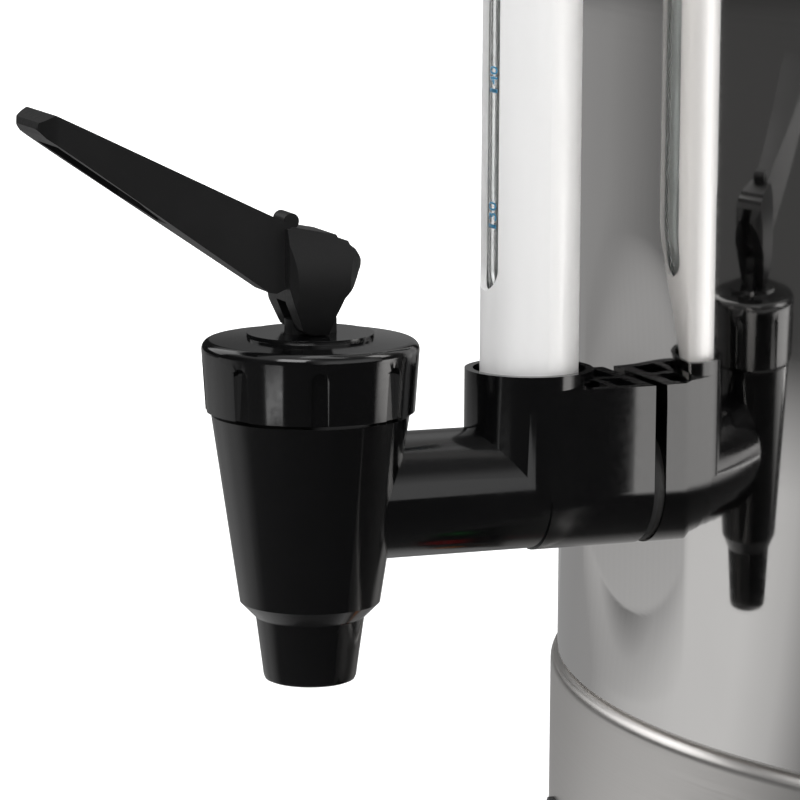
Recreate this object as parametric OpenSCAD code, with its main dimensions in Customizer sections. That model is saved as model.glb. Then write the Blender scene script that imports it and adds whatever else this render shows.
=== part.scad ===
// Coffee urn: a polished percolator tank on a satin base, with a lever tap and a level gauge.
// Millimetres, +Z up. The origin is the centre of the footprint, on the table.
// The tap points to -Y. Heights named *_up are measured from the tank's lower edge.

/* [Tank] */
// Outside diameter of the tank
tank_d = 298; // [270:1:330]
// Height of the tank wall, lower edge to rim
tank_h = 370; // [340:1:420]
// Sheet thickness of the tank
tank_t = 0.9; // [0.7:0.1:1.4]
// Height of the tank floor above the wall's lower edge
floor_up = 9; // [7:0.5:14]
// Radius of the fillet between wall and floor
floor_fillet = 6; // [3:0.5:10]
// Inside diameter of the pump well in the floor
well_d = 72; // [68:1:90]
// Depth of the pump well below the floor
well_depth = 12; // [9:0.5:16]
// Wire diameter of the rolled rim
rim_bead_d = 5; // [3:0.5:7]
// Radius of the flat seat pressed into the wall for the tap
seat_r = 24; // [22:0.5:28]
// Width of the sloping edge round that seat
seat_ramp = 9; // [4:0.5:14]

/* [Lid] */
// Height of the lid's dome above its flange
lid_dome_h = 27; // [18:1:36]
// Sheet thickness of the lid
lid_t = 0.9; // [0.7:0.1:1.4]
// Depth of the lid's locating skirt inside the tank
lid_skirt_h = 13; // [8:1:20]
// How far the lid's flange reaches past the rolled rim
lid_over = 2.5; // [1.5:0.5:5]
// Diameter of the flat on top of the lid
lid_flat_d = 62; // [54:1:80]
// Diameter of the two steam vents
vent_d = 5; // [3:0.5:7]
// Diameter of the lid knob
knob_d = 46; // [38:1:54]
// Height of the lid knob
knob_h = 33; // [26:1:42]
// Thickness of the heat guard under the knob
guard_t = 3; // [2:0.5:5]

/* [Base] */
// Height of the tank's lower edge above the table
base_h = 98; // [90:1:120]
// How far the base skirt stands proud of the tank
base_proud = 1.4; // [0.8:0.1:3]
// Sheet thickness of the base skirt
base_t = 1.0; // [0.8:0.1:1.6]
// Radius of the base's rounded shoulder
shoulder_r = 2.6; // [2:0.1:4]
// Width of the groove between tank and base
groove_w = 0.9; // [0.5:0.1:1.6]
// Thickness of the bottom plate
plate_t = 1.2; // [0.8:0.1:2]
// Height of the rubber feet
foot_h = 12; // [8:1:20]
// Diameter of the rubber feet
foot_d = 28; // [22:1:34]
// Distance of the feet from the middle
foot_at = 120; // [100:1:126]
// Diameter of the spacer posts between plate and tank
post_d = 11; // [9:0.5:14]
// Distance of the spacer posts from the middle
post_at = 100; // [88:1:110]
// Length of the air slots in the bottom plate
air_slot_l = 24; // [14:1:30]
// Width of the air slots in the bottom plate
air_slot_w = 4; // [3:0.5:6]

/* [Tap] */
// Distance from the tank wall to the tap's upright axis
tap_reach = 65; // [58:0.5:80]
// Height of the tap's shank axis
shank_up = 46; // [40:0.5:56]
// Diameter of the shank
shank_d = 24; // [22:0.5:26]
// Diameter of the waterway through the shank
waterway_d = 11; // [8:0.5:12]
// Diameter of the threaded tail through the tank wall
tail_d = 18.8; // [17:0.2:20]
// Length of the threaded tail inside the tank
tail_l = 20; // [16:0.5:26]
// Height of the spout's lower lip
spout_up = 11.6; // [8:0.2:14]
// Diameter of the spout's lower lip
spout_d = 17.6; // [16.5:0.1:18.5]
// Bore of the spout
spout_bore_d = 13; // [10:0.5:14]
// Diameter at the top of the spout
spout_top_d = 20.6; // [19:0.1:22]
// Length of the spout below the valve body
spout_l = 12.2; // [10:0.2:16]
// Diameter at the foot of the valve body
body_foot_d = 26.6; // [25:0.2:28]
// Diameter at the top of the valve body
body_top_d = 37.4; // [36:0.2:38.6]
// Height of the shoulder that the bonnet screws down to
body_top_up = 62.6; // [60:0.2:66]
// Height of the threaded neck inside the bonnet
neck_h = 7.4; // [6:0.2:9]
// Diameter of that threaded neck
neck_d = 34; // [32:0.2:35]
// Diameter of the valve chamber
chamber_d = 30; // [28:0.2:31]

/* [Bonnet] */
// Diameter of the bonnet at its upper edge
bonnet_d = 41; // [39:0.2:44]
// Diameter of the bonnet at its lower edge
bonnet_low_d = 39.4; // [38:0.2:42]
// Height of the bonnet's side
bonnet_h = 13.4; // [12:0.1:15]
// Rise of the bonnet's sloping top
bonnet_rise = 0.5; // [0.1:0.1:1]
// Diameter of the raised disc on the bonnet
disc_d = 24; // [20:0.2:28]
// Thickness of the raised disc
disc_t = 0.8; // [0.5:0.1:1.5]
// Number of grip slots round the bonnet
grip_slots = 8; // [6:1:12]
// Width of a grip slot
grip_slot_w = 3.2; // [2:0.2:4.4]
// Depth of a grip slot
grip_slot_deep = 1.5; // [0.8:0.1:1.8]
// Angle of the first grip slot from the tap's front
grip_turn = 30; // [0:1:44]

/* [Lever] */
// Diameter of the valve stem
stem_d = 9.8; // [9:0.1:10.4]
// Thickness of the stem's flat tongue
tongue_w = 4.4; // [4:0.1:5]
// Height of the lever's pivot above the disc
pivot_up = 3.8; // [3.5:0.1:5]
// Clearance between the lever's heel and the disc
heel_gap = 0.2; // [0.1:0.05:0.5]
// Rise of the stem for one radian of lever
cam_rise = 1.2; // [0.8:0.1:1.6]
// How far the lever can be pressed down
press_angle = 40; // [30:1:42]
// Length of the lever from pivot to tip
lever_l = 55; // [50:0.2:62]
// Width of the lever's hub
hub_w = 15.8; // [14:0.2:18]
// Width of the lever's arm at its waist
waist_w = 8.4; // [7:0.2:11]
// Width of the lever's paddle at the tip
paddle_w = 19.2; // [16:0.2:22]
// Slope of the lever's upper edge
arm_top_slope = 25.4; // [22:0.1:28]
// Slope of the lever's lower edge
arm_low_slope = 34.7; // [31:0.1:37]
// Depth of the channel under the lever's paddle
channel_deep = 3; // [1.5:0.1:4]
// Diameter of the pivot pin
pin_d = 3.6; // [3:0.1:4]
// Wire diameter of the valve spring
spring_wire = 1.4; // [1:0.1:1.8]
// Mean diameter of the valve spring
spring_d = 15; // [13.5:0.1:17]
// Turns of the valve spring
spring_turns = 6; // [4:1:9]

/* [Gauge] */
// Distance from the tank wall to the gauge's upright axis
gauge_reach = 20.4; // [18:0.2:26]
// Outside diameter of the metal shield tube
shield_d = 19; // [17:0.2:21]
// Wall thickness of the shield tube
shield_t = 1.2; // [0.8:0.1:1.6]
// Width of the sight slots in the shield
sight_w = 8.6; // [5:0.2:10]
// Height of the sight slots' lower end
sight_up = 84.4; // [80:0.2:96]
// Depth of the sight slots' top below the shield's top
sight_down = 24; // [18:1:60]
// Depth of the shield's top below the tank's rim
shield_down = 56; // [50:1:70]
// Gap all round between the glass tube and the shield
glass_gap = 0.3; // [0.25:0.05:1.5]
// Wall thickness of the glass tube
glass_t = 1.2; // [0.8:0.1:1.6]
// Outside diameter of the gauge cup on the tap
cup_d = 24.8; // [23:0.2:26]
// Inside diameter of the gauge cup
cup_bore_d = 21.6; // [20.4:0.2:22.4]
// Height of the gauge cup's rim
cup_up = 69; // [66:0.2:74]
// Height of the web's top between cup and tank
web_up = 66.2; // [62:0.2:66.4]
// Height of the gauge cup's floor
cup_floor_up = 59.4; // [59:0.1:61]
// Thickness of the gauge's lower seal
lower_seal_t = 3; // [2:0.2:4]
// Height of the upper gauge holder
holder_h = 24; // [20:1:30]
// Diameter of the upper gauge holder
holder_d = 27; // [25:0.5:32]
// Width of the holder's web
holder_web_w = 18; // [14:0.5:22]
// Height of the gauge cap
cap_h = 9; // [7:0.5:14]

/* [Brewing set] */
// Diameter of the pump tube
tube_d = 11; // [9:0.5:13]
// Wall thickness of the pump tube
tube_t = 1; // [0.8:0.1:1.4]
// Diameter of the pump's bell
bell_d = 64; // [56:1:66]
// Height of the pump's bell
bell_h = 20; // [16:1:26]
// Diameter of the basket
basket_d = 190; // [160:1:230]
// Height of the basket
basket_h = 74; // [60:1:80]
// Depth of the basket's top edge below the tank's rim
basket_down = 11.1; // [9:0.1:30]
// Sheet thickness of the basket and its lid
basket_t = 0.9; // [0.7:0.1:1.4]
// Diameter of the basket's holes
basket_hole_d = 4; // [2.5:0.5:5]
// Height that the pump tube stands above the basket's lid
tube_above = 13; // [8:1:18]

/* [Handles] */
// Distance of the handle bar's middle from the tank wall
handle_reach = 40; // [36:1:50]
// Distance between the two legs of a handle
handle_span = 92; // [84:1:110]
// Thickness of the handle bar
handle_d = 20; // [17:0.5:23]
// Bend radius of the handle's corners
handle_bend = 15; // [12:0.5:20]
// Diameter of the foot where a leg meets the tank
handle_foot_d = 34; // [28:1:40]
// Distance of the handles below the rim
handle_drop = 60; // [50:1:90]

/* [Controls] */
// Height of the switch panel's middle above the table
panel_at = 48; // [44:1:54]
// Width of the switch panel
panel_w = 96; // [88:1:110]
// Height of the switch panel
panel_h = 42; // [38:1:48]
// How far the panel's flat middle stands proud of the base
panel_proud = 2.6; // [2.2:0.1:4]
// Width of the switch frame
switch_w = 22; // [20:0.5:24]
// Height of the switch frame
switch_h = 30; // [28:0.5:33]
// Distance of the lamps from the panel's middle
lamp_at = 33; // [28:0.5:36]
// Diameter of a lamp's lens
lamp_d = 12; // [9:0.5:14]
// How far the rocker tips between off and on
rocker_angle = 16; // [12:1:18]
// Width of the power inlet's opening
inlet_w = 24.5; // [22:0.5:26]
// Height of the power inlet's opening
inlet_h = 17; // [15:0.5:19]
// Depth of the power inlet's opening
inlet_deep = 16.5; // [15:0.5:18]

/* [Hidden] */

eps = 0.01;            // overshoot of a cut past the face it opens
slip = 0.1;            // gap of a part that slides over another by hand
seat_gap = 0.3;        // gap under a part that lifts off its seat
run_fit = 0.06;        // radial clearance of a running shaft
wall_sides = 360;      // facets asked of a cut that follows the tank or the base
fine = 96;             // facets asked of a large round form
small = 40;            // facets asked of a small round form

// ---- tank, lid and base levels ----
tank_r = tank_d / 2;
inner_r = tank_r - tank_t;
wall_z = base_h;
rim_z = wall_z + tank_h;
floor_z = wall_z + floor_up;                 // underside of the tank floor
well_r = well_d / 2;
well_z = floor_z - well_depth;               // underside of the well's floor
rim_bead_r = rim_bead_d / 2;
rim_bead_at = tank_r + rim_bead_r - tank_t;
base_r = tank_r + base_proud;
base_top_z = wall_z - groove_w;
skirt_z = foot_h + plate_t;
plate_z = foot_h;
spigot_r = inner_r - slip;
seat_y = sqrt(tank_r * tank_r - seat_r * seat_r);   // the flat seat's distance from the middle
shank_z = wall_z + shank_up;

// ---- lid ----
lid_seat_z = rim_z + rim_bead_r + seat_gap;
lid_edge_r = rim_bead_at + rim_bead_r + lid_over;
lid_edge_drop = rim_bead_d + 1;
lid_skirt_r = inner_r - 1;
lid_flat_z = lid_seat_z + lid_dome_h;
knob_z = lid_flat_z + lid_t + guard_t;
lid_screw_d = 5;

// ---- tap ----
tap_y = tank_r + tap_reach;
gauge_y = tank_r + gauge_reach;
shank_r = shank_d / 2;
cup_r = cup_d / 2;
gasket_t = 1.2;
face_y = seat_y + gasket_t;                  // where the tap's web meets its gasket
spout_z = wall_z + spout_up;
foot_slope = (body_foot_d - spout_top_d) / 2;
body_foot_z = spout_z + spout_l + foot_slope;
shoulder_z = wall_z + body_top_up;
neck_z = shoulder_z + neck_h;
valve_seat_z = body_foot_z + 5.2;
chamber_z = valve_seat_z - 1;
neck_wall = (neck_d - chamber_d) / 2;

// ---- bonnet, stem and lever ----
bonnet_z = shoulder_z + 0.8;
bonnet_edge_z = bonnet_z + bonnet_h;
disc_z = bonnet_edge_z + bonnet_rise;
disc_top_z = disc_z + disc_t;
ceiling_z = neck_z + slip;
stem_r = stem_d / 2;
pivot_z = disc_top_z + pivot_up;
heel = pivot_up - heel_gap;                  // pivot to the lever's flat heel
eye_r = pin_d / 2 + 1.6;                     // round eye on top of the stem's tongue
tongue_top_z = pivot_z - 1.1;
slot_r = norm([stem_r, pivot_z - tongue_top_z]) + 0.4;
fork_w = tongue_w + 0.6;
pin_end = hub_w / 2 - 2;
cup_seal_z = valve_seat_z + seat_gap;
cup_seal_r = 10.3;
knob_seat_z = cup_seal_z + 3.4;
collar_z = knob_seat_z + 8.4;
collar_h = 2;
collar_r = 10.5;

// ---- gauge ----
shield_r = shield_d / 2;
glass_r = shield_r - shield_t - glass_gap;
cup_floor_z = wall_z + cup_floor_up;
gauge_foot_z = cup_floor_z + lower_seal_t;
shield_top_z = rim_z - shield_down;
holder_z = shield_top_z - 12;
holder_top_z = holder_z + holder_h;
holder_r = holder_d / 2;
glass_top_z = holder_top_z + 3;
top_seal_r = glass_r + 1.6;
holder_screw_gap = 12;
holder_screw_d = 4;

// ---- brewing set ----
tube_r = tube_d / 2;
bell_r = bell_d / 2;
bell_z = well_z + tank_t + seat_gap;
basket_r = basket_d / 2;
basket_top_z = rim_z - basket_down;
basket_z = basket_top_z - basket_h;
collar_top_z = basket_z;
basket_lid_z = basket_top_z + seat_gap;
tube_top_z = basket_lid_z + basket_t + tube_above;
sleeve_r = tube_r + slip + basket_t;

// ---- handles ----
handle_z = rim_z - handle_drop;
handle_x = tank_r + handle_reach;
handle_r = handle_d / 2;
leg_y = handle_span / 2;
leg_wall_x = sqrt(tank_r * tank_r - leg_y * leg_y);
handle_screw_d = 5;

// ---- controls ----
panel_y = base_r + panel_proud;
lamp_r = lamp_d / 2;
panel_side_r = base_r + 1.2;
lamp_ring_r = lamp_r + 2.5;
lamp_y = sqrt(pow(panel_side_r, 2) - pow(lamp_at - lamp_ring_r, 2)) + 0.3;
rocker_w = switch_w - 6.6;
rocker_h = switch_h - 7.6;
rocker_y = panel_y + 0.4;
switch_deep = 24;
inlet_y = base_r + 2.6;
inlet_z = panel_at;
inlet_flange_w = inlet_w + 26;
inlet_flange_h = inlet_h + 10;
inlet_screw_at = inlet_w / 2 + 8;
inlet_flange_t = 2.4;
inlet_foot_y = inlet_y + inlet_flange_t - inlet_deep;    // bottom of the inlet's opening
blade_l = 11;
pin_tail = 8;

// ---- heating ----
element_r = 4;
brew_ring_r = well_r + tank_t + element_r + 1;
warm_ring_r = brew_ring_r + 4 * element_r + 4;
lead_r = 1.3;

// ============================ shared shapes ============================

// A straight tube standing on z = 0
module pipe(r_out, r_in, h, sides = fine) {
    difference() {
        cylinder(r = r_out, h = h, $fn = sides);
        translate([0, 0, -eps]) cylinder(r = r_in, h = h + 2 * eps, $fn = sides);
    }
}

// Turns a shape that is drawn along +Z so that it points to the front
module forward() { rotate([90, 0, 0]) children(); }

// Copies a shape to both sides of the X = 0 plane
module both_sides() {
    children();
    mirror([1, 0, 0]) children();
}

// Places a shape on the tap's upright axis, or on the gauge's
module at_tap(z = 0) { translate([0, -tap_y, z]) children(); }
module at_gauge(z = 0) { translate([0, -gauge_y, z]) children(); }

// A rectangle with round corners, centred
module round_rect(w, h, r) {
    square([w - 2 * r, h], center = true);
    square([w, h - 2 * r], center = true);
    for (sx = [-1, 1], sy = [-1, 1])
        translate([sx * (w / 2 - r), sy * (h / 2 - r)]) circle(r = r, $fn = small);
}

// A pan-head screw: the head's seat is at z = 0 and the shank points down
module pan_screw(d, l, head_d, head_h) {
    difference() {
        union() {
            cylinder(r1 = head_d / 2, r2 = head_d / 2 - head_h * 0.35, h = head_h, $fn = small);
            translate([0, 0, -l]) cylinder(d = d, h = l + eps, $fn = small);
        }
        for (a = [0, 90]) rotate([0, 0, a])
            translate([-head_d * 0.3, -d * 0.1, head_h * 0.5]) cube([head_d * 0.6, d * 0.2, head_h]);
    }
}

// A hexagon nut standing on z = 0
module hex_nut(across, bore_d, h) {
    difference() {
        cylinder(r = across / sqrt(3), h = h, $fn = 6);
        translate([0, 0, -eps]) cylinder(d = bore_d, h = h + 2 * eps, $fn = small);
    }
}

// A closed tube through rings: one centre for each ring, and the two directions of its plane
module ring_tube(centres, dir_a, dir_b, r, sides) {
    last = (len(centres) - 1) * sides;
    points = [for (i = [0 : len(centres) - 1], k = [0 : sides - 1])
        centres[i] + r * cos(360 * k / sides) * dir_a[i] + r * sin(360 * k / sides) * dir_b[i]];
    side_faces = [for (i = [0 : len(centres) - 2], k = [0 : sides - 1])
        let (a = i * sides + k, b = i * sides + (k + 1) % sides)
        each [[a, b, b + sides], [a, b + sides, a + sides]]];
    end_faces = [for (k = [1 : sides - 2]) each [[0, k + 1, k], [last, last + k, last + k + 1]]];
    polyhedron(points, concat(side_faces, end_faces));
}

// Angles of the four feet and the three posts
function foot_angles() = [45, 135, 225, 315];
function post_angles() = [60, 180, 300];
module on_circle(angles, r) { for (a = angles) rotate([0, 0, a]) translate([r, 0, 0]) children(); }

// ============================ tank ============================

module tank_sheet() {
    rotate_extrude($fn = fine) {
        translate([inner_r, wall_z]) square([tank_t, tank_h]);
        translate([well_r, floor_z]) square([inner_r - well_r + eps, tank_t]);
        translate([well_r, well_z]) square([tank_t, well_depth + tank_t]);
        translate([0, well_z]) square([well_r + eps, tank_t]);
        translate([rim_bead_at, rim_z]) circle(r = rim_bead_r, $fn = small);
        translate([inner_r - floor_fillet, floor_z + tank_t - eps]) difference() {
            square([floor_fillet + eps, floor_fillet]);
            translate([0, floor_fillet]) circle(r = floor_fillet, $fn = small);
        }
    }
}

// The pressed flat: its cut from outside, and the same form one sheet thicker behind it
module seat_press(grow) {
    depth = tank_r - seat_y;
    translate([0, -seat_y + grow, shank_z]) forward()
        cylinder(r1 = seat_r + grow, r2 = seat_r + grow + seat_ramp * (depth + 2 * grow + 1) / depth,
                 h = depth + 2 * grow + 1, $fn = fine);
}

module handle_holes(d) {
    for (sx = [-1, 1], sy = [-1, 1])
        translate([sx * leg_wall_x, sy * leg_y, handle_z]) rotate([0, 90, 0])
            cylinder(d = d, h = 24, center = true, $fn = small);
}

module tank() {
    color("silver") difference() {
        union() {
            tank_sheet();
            intersection() {
                seat_press(tank_t);
                translate([0, 0, wall_z]) cylinder(r = tank_r - tank_t / 2, h = tank_h, $fn = fine);
            }
        }
        seat_press(0);
        translate([0, -seat_y + 4, shank_z]) forward()
            cylinder(r = tail_d / 2 + 0.4, h = 12, $fn = small);
        for (s = [-1, 1])
            translate([0, -inner_r + 4, holder_z + holder_h / 2 + s * holder_screw_gap / 2]) forward()
                cylinder(d = holder_screw_d + 0.4, h = 12, $fn = small);
        handle_holes(handle_screw_d + 0.4);
    }
}

// ============================ lid ============================

module lid_profile() {
    bend = 5;
    flat_r = lid_flat_d / 2;
    edge_z = lid_seat_z - lid_edge_drop;
    rise = lid_dome_h;
    run = lid_skirt_r - flat_r;
    dome_r = (run * run + rise * rise) / (2 * rise);      // arc from the flange up to the flat
    translate([lid_edge_r, edge_z]) square([lid_t, lid_edge_drop]);
    translate([lid_edge_r + lid_t / 2, edge_z]) circle(r = lid_t, $fn = small);
    translate([lid_skirt_r - lid_t, lid_seat_z]) square([lid_edge_r + 2 * lid_t - lid_skirt_r, lid_t]);
    translate([lid_skirt_r - lid_t, lid_seat_z - lid_skirt_h]) square([lid_t, lid_skirt_h + lid_t]);
    translate([0, lid_flat_z]) square([flat_r + eps, lid_t]);
    intersection() {
        translate([flat_r, lid_flat_z + lid_t - dome_r]) difference() {
            circle(r = dome_r, $fn = 4 * fine);
            circle(r = dome_r - lid_t, $fn = 4 * fine);
        }
        translate([flat_r, lid_seat_z]) square([run, lid_dome_h + lid_t]);
    }
}

module lid() {
    color("silver") difference() {
        rotate_extrude($fn = fine) lid_profile();
        translate([0, 0, lid_flat_z - 1]) cylinder(d = lid_screw_d + 0.4, h = 4, $fn = small);
        for (s = [-1, 1]) translate([s * (lid_flat_d / 2 + 12), 0, lid_seat_z + 5])
            cylinder(d = vent_d, h = lid_dome_h, $fn = small);
    }
}

module lid_knob() {
    waist = knob_d * 0.34;
    color("#1b1b1c") difference() {
        translate([0, 0, knob_z]) rotate_extrude($fn = fine) difference() {
            union() {
                square([knob_d / 2 - 5, knob_h]);
                translate([0, 0]) square([knob_d * 0.40, 5]);
                translate([knob_d / 2 - 5, knob_h - 5]) circle(r = 5, $fn = small);
                translate([0, knob_h - 10]) square([knob_d / 2 - 5, 10]);
            }
            translate([waist + (knob_h - 14) / 2, (knob_h - 4) / 2])
                circle(r = (knob_h - 14) / 2, $fn = small);
        }
        translate([0, 0, knob_z - eps]) cylinder(d = lid_screw_d, h = knob_h - 8, $fn = small);
    }
}

module knob_guard() {
    color("#232323") translate([0, 0, lid_flat_z + lid_t])
        pipe(knob_d * 0.55, lid_screw_d / 2 + 0.2, guard_t);
}

module knob_screw() {
    color("gray") translate([0, 0, lid_flat_z]) rotate([180, 0, 0])
        pan_screw(lid_screw_d - slip, lid_t + guard_t + knob_h - 12, 10, 3);
}

// ============================ brewing set ============================

module basket_shell(z, r, h) {
    translate([0, 0, z]) {
        pipe(r, sleeve_r - basket_t, basket_t);
        pipe(r, r - basket_t, h);
        pipe(sleeve_r, sleeve_r - basket_t, h * 0.75, small);
        translate([0, 0, h]) rotate_extrude($fn = fine)
            translate([r - basket_t / 2, -1.2]) circle(r = 1.2, $fn = small);
    }
}

// Rings of holes in a flat sheet: each ring keeps nearly the same hole spacing
module hole_rings(first_r, last_r, rings, d, h) {
    step = (last_r - first_r) / (rings - 1);
    for (i = [0 : rings - 1]) {
        ring_r = first_r + i * step;
        count = floor(2 * PI * ring_r / 24);
        for (k = [0 : count - 1]) rotate([0, 0, 360 * k / count + 11 * i])
            translate([ring_r, 0, 0]) cylinder(d = d, h = h, $fn = 16);
    }
}

module basket() {
    color("lightgray") difference() {
        basket_shell(basket_z, basket_r, basket_h);
        translate([0, 0, basket_z - 1]) hole_rings(22, basket_r - 12, 4, basket_hole_d, basket_t + 2);
    }
}

module basket_lid() {
    lid_r = basket_r + 1.5;
    dish = 5;
    color("lightgray") difference() {
        translate([0, 0, basket_lid_z]) union() {
            pipe(lid_r, tube_r + slip, basket_t);
            pipe(basket_r - basket_t - 1, basket_r - 2 * basket_t - 1, basket_t);
            pipe(lid_r, lid_r - basket_t, dish + basket_t);
            translate([0, 0, -dish])
                pipe(basket_r - basket_t - 1.8, basket_r - 2 * basket_t - 1.8, dish + eps);
            pipe(sleeve_r + 1, tube_r + slip, 7, small);
        }
        translate([0, 0, basket_lid_z - 1]) hole_rings(20, basket_r - 14, 4, basket_hole_d * 0.75, 3);
    }
}

module pump_tube() {
    color("gainsboro") translate([0, 0, bell_z + bell_h - 4])
        pipe(tube_r, tube_r - tube_t, tube_top_z - bell_z - bell_h + 4, small);
}

module basket_collar() {
    color("gainsboro") translate([0, 0, collar_top_z - 5]) rotate_extrude($fn = small)
        polygon([[tube_r, 0], [tube_r + 2, 0], [tube_r + 5, 4], [tube_r + 5, 5], [tube_r, 5]]);
}

// A spun bell with a flat rim, holes for the water, and a neck that grips the tube
module pump_bell() {
    wall = 1.2;
    neck_r = tube_r + 2;
    color("gainsboro") translate([0, 0, bell_z]) difference() {
        rotate_extrude($fn = fine) polygon([
            [bell_r - 4, 0], [bell_r, 0], [bell_r, wall], [bell_r - 4, wall + 1], [neck_r + 6, bell_h - 8],
            [neck_r, bell_h - 5], [neck_r, bell_h], [tube_r, bell_h], [tube_r, bell_h - 4],
            [tube_r - tube_t, bell_h - 4], [tube_r - tube_t, bell_h - 6], [neck_r + 5, bell_h - 9.5],
            [bell_r - 5.5, wall]]);
        for (a = [0 : 60 : 300]) rotate([0, 0, a]) translate([bell_r - 3, 0, -1])
            cylinder(r = 1.6, h = 4, $fn = 16);
    }
}

module pump_washer() {
    color("silver") translate([0, 0, bell_z]) pipe(bell_r - 9, 4, 1, small);
}

// ============================ tap ============================

// Valve body from the spout's lip to the threaded neck
module valve_outline() {
    lip = 1;
    polygon([
        [0, spout_z], [spout_d / 2 - lip, spout_z], [spout_d / 2 - 0.3 * lip, spout_z + 0.3 * lip],
        [spout_d / 2, spout_z + lip], [spout_top_d / 2, spout_z + spout_l],
        [body_foot_d / 2, body_foot_z], [body_top_d / 2, shoulder_z],
        [neck_d / 2, shoulder_z], [neck_d / 2, neck_z], [0, neck_z]]);
}

module valve_hollow() {
    chamber_foot_r = body_foot_d / 2 - neck_wall + 0.2;
    polygon([
        [0, spout_z - 1], [spout_bore_d / 2, spout_z - 1], [spout_bore_d / 2, valve_seat_z],
        [spout_bore_d / 2 + 1.6, valve_seat_z], [spout_bore_d / 2 + 2, chamber_z],
        [chamber_foot_r, chamber_z], [chamber_d / 2, shoulder_z - 4],
        [chamber_d / 2, neck_z + 1], [0, neck_z + 1]]);
}

// Web with a round underside that joins the gauge cup to the tank's flat seat
module gauge_web() {
    web_l = gauge_y - face_y;
    translate([0, -face_y, shank_z]) forward() cylinder(r = cup_r, h = web_l, $fn = fine);
    translate([-cup_r, -gauge_y, shank_z]) cube([cup_d, web_l, web_up - shank_up]);
}

module tap_body() {
    color("#141415") difference() {
        union() {
            at_tap() rotate_extrude($fn = fine) valve_outline();
            translate([0, -gauge_y, shank_z]) forward()
                cylinder(r = shank_r, h = tap_y - gauge_y, $fn = fine);
            at_gauge(shank_z) cylinder(r = cup_r, h = cup_up - shank_up, $fn = fine);
            gauge_web();
            translate([0, -face_y + gasket_t + tail_l, shank_z]) forward()
                cylinder(r = tail_d / 2, h = gasket_t + tail_l + 1, $fn = small);
        }
        at_tap() rotate_extrude($fn = fine) valve_hollow();
        translate([0, -face_y + gasket_t + tail_l + 1, shank_z]) forward()
            cylinder(r = waterway_d / 2, h = tap_y - face_y + gasket_t + tail_l + 1, $fn = small);
        at_gauge(shank_z) cylinder(r = 3.5, h = cup_up, $fn = small);
        at_gauge(cup_floor_z) cylinder(r = cup_bore_d / 2, h = cup_up, $fn = fine);
        both_sides() for (y = [face_y + 2.6, face_y + 8.6])
            translate([1.2, -y - 4.2, wall_z + web_up - 3.2]) cube([8.6, 4.2, 4]);
    }
}

module bonnet_outline() {
    edge = 1.8;
    r = bonnet_d / 2;
    polygon([
        [neck_d / 2 + slip, bonnet_z], [bonnet_low_d / 2, bonnet_z],
        [r, bonnet_edge_z - edge], [r - edge, bonnet_edge_z - eps], [0, bonnet_edge_z - eps],
        [0, ceiling_z], [neck_d / 2 + slip, ceiling_z]]);
    polygon([
        [0, bonnet_edge_z - 1], [r - edge, bonnet_edge_z - 1], [r - edge, bonnet_edge_z],
        [disc_d / 2, disc_z], [disc_d / 2, disc_top_z], [0, disc_top_z]]);
    translate([r - edge, bonnet_edge_z - edge]) circle(r = edge, $fn = small);
}

// The stem's tongue: a round bar with two flats, each face grown by a clearance
module tongue(z, h, clear) {
    intersection() {
        translate([0, 0, z]) cylinder(r = stem_r + clear, h = h, $fn = small);
        translate([-tongue_w / 2 - clear, -stem_d, z - 1]) cube([tongue_w + 2 * clear, 2 * stem_d, h + 2]);
    }
}

module tap_bonnet() {
    slot_top = bonnet_edge_z - 3.4;
    color("#161617") at_tap() difference() {
        rotate_extrude($fn = fine) bonnet_outline();
        tongue(ceiling_z - 1, disc_top_z - ceiling_z + 2, run_fit);
        for (i = [0 : grip_slots - 1]) rotate([0, 0, grip_turn - 90 + i * 360 / grip_slots])
            translate([bonnet_d / 2 - grip_slot_deep, 0, 0]) {
                translate([0, -grip_slot_w / 2, bonnet_z - 1])
                    cube([4, grip_slot_w, slot_top - grip_slot_w / 2 - bonnet_z + 1]);
                translate([0, 0, slot_top - grip_slot_w / 2]) rotate([0, 90, 0])
                    cylinder(r = grip_slot_w / 2, h = 4, $fn = small);
            }
    }
}

module valve_stem() {
    round_top_z = ceiling_z - cam_rise - 1;
    color("#202021") at_tap() difference() {
        union() {
            rotate_extrude($fn = small) polygon([
                [0, knob_seat_z], [6.8, knob_seat_z], [6.8, knob_seat_z + 4.2], [4, knob_seat_z + 4.6],
                [4, collar_z], [collar_r, collar_z], [collar_r, collar_z + collar_h],
                [stem_r, collar_z + collar_h], [stem_r, round_top_z], [0, round_top_z]]);
            tongue(round_top_z - 1, tongue_top_z - round_top_z + 1, 0);
            translate([-tongue_w / 2, 0, pivot_z]) rotate([0, 90, 0])
                cylinder(r = eye_r, h = tongue_w, $fn = small);
        }
        translate([0, 0, pivot_z]) rotate([0, 90, 0])
            cylinder(d = pin_d, h = stem_d + 2, center = true, $fn = small);
    }
}

// Soft cup that closes on the raised lip above the spout
module seat_cup() {
    grip_z = knob_seat_z + 4.8;
    color("whitesmoke") at_tap() rotate_extrude($fn = small) polygon([
        [0, cup_seal_z], [cup_seal_r - 1, cup_seal_z], [cup_seal_r, cup_seal_z + 1],
        [cup_seal_r, collar_z - 0.4], [4.2, collar_z - 0.4], [4.2, grip_z], [7, grip_z],
        [7, knob_seat_z - 0.2], [0, knob_seat_z - 0.2]]);
}

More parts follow.
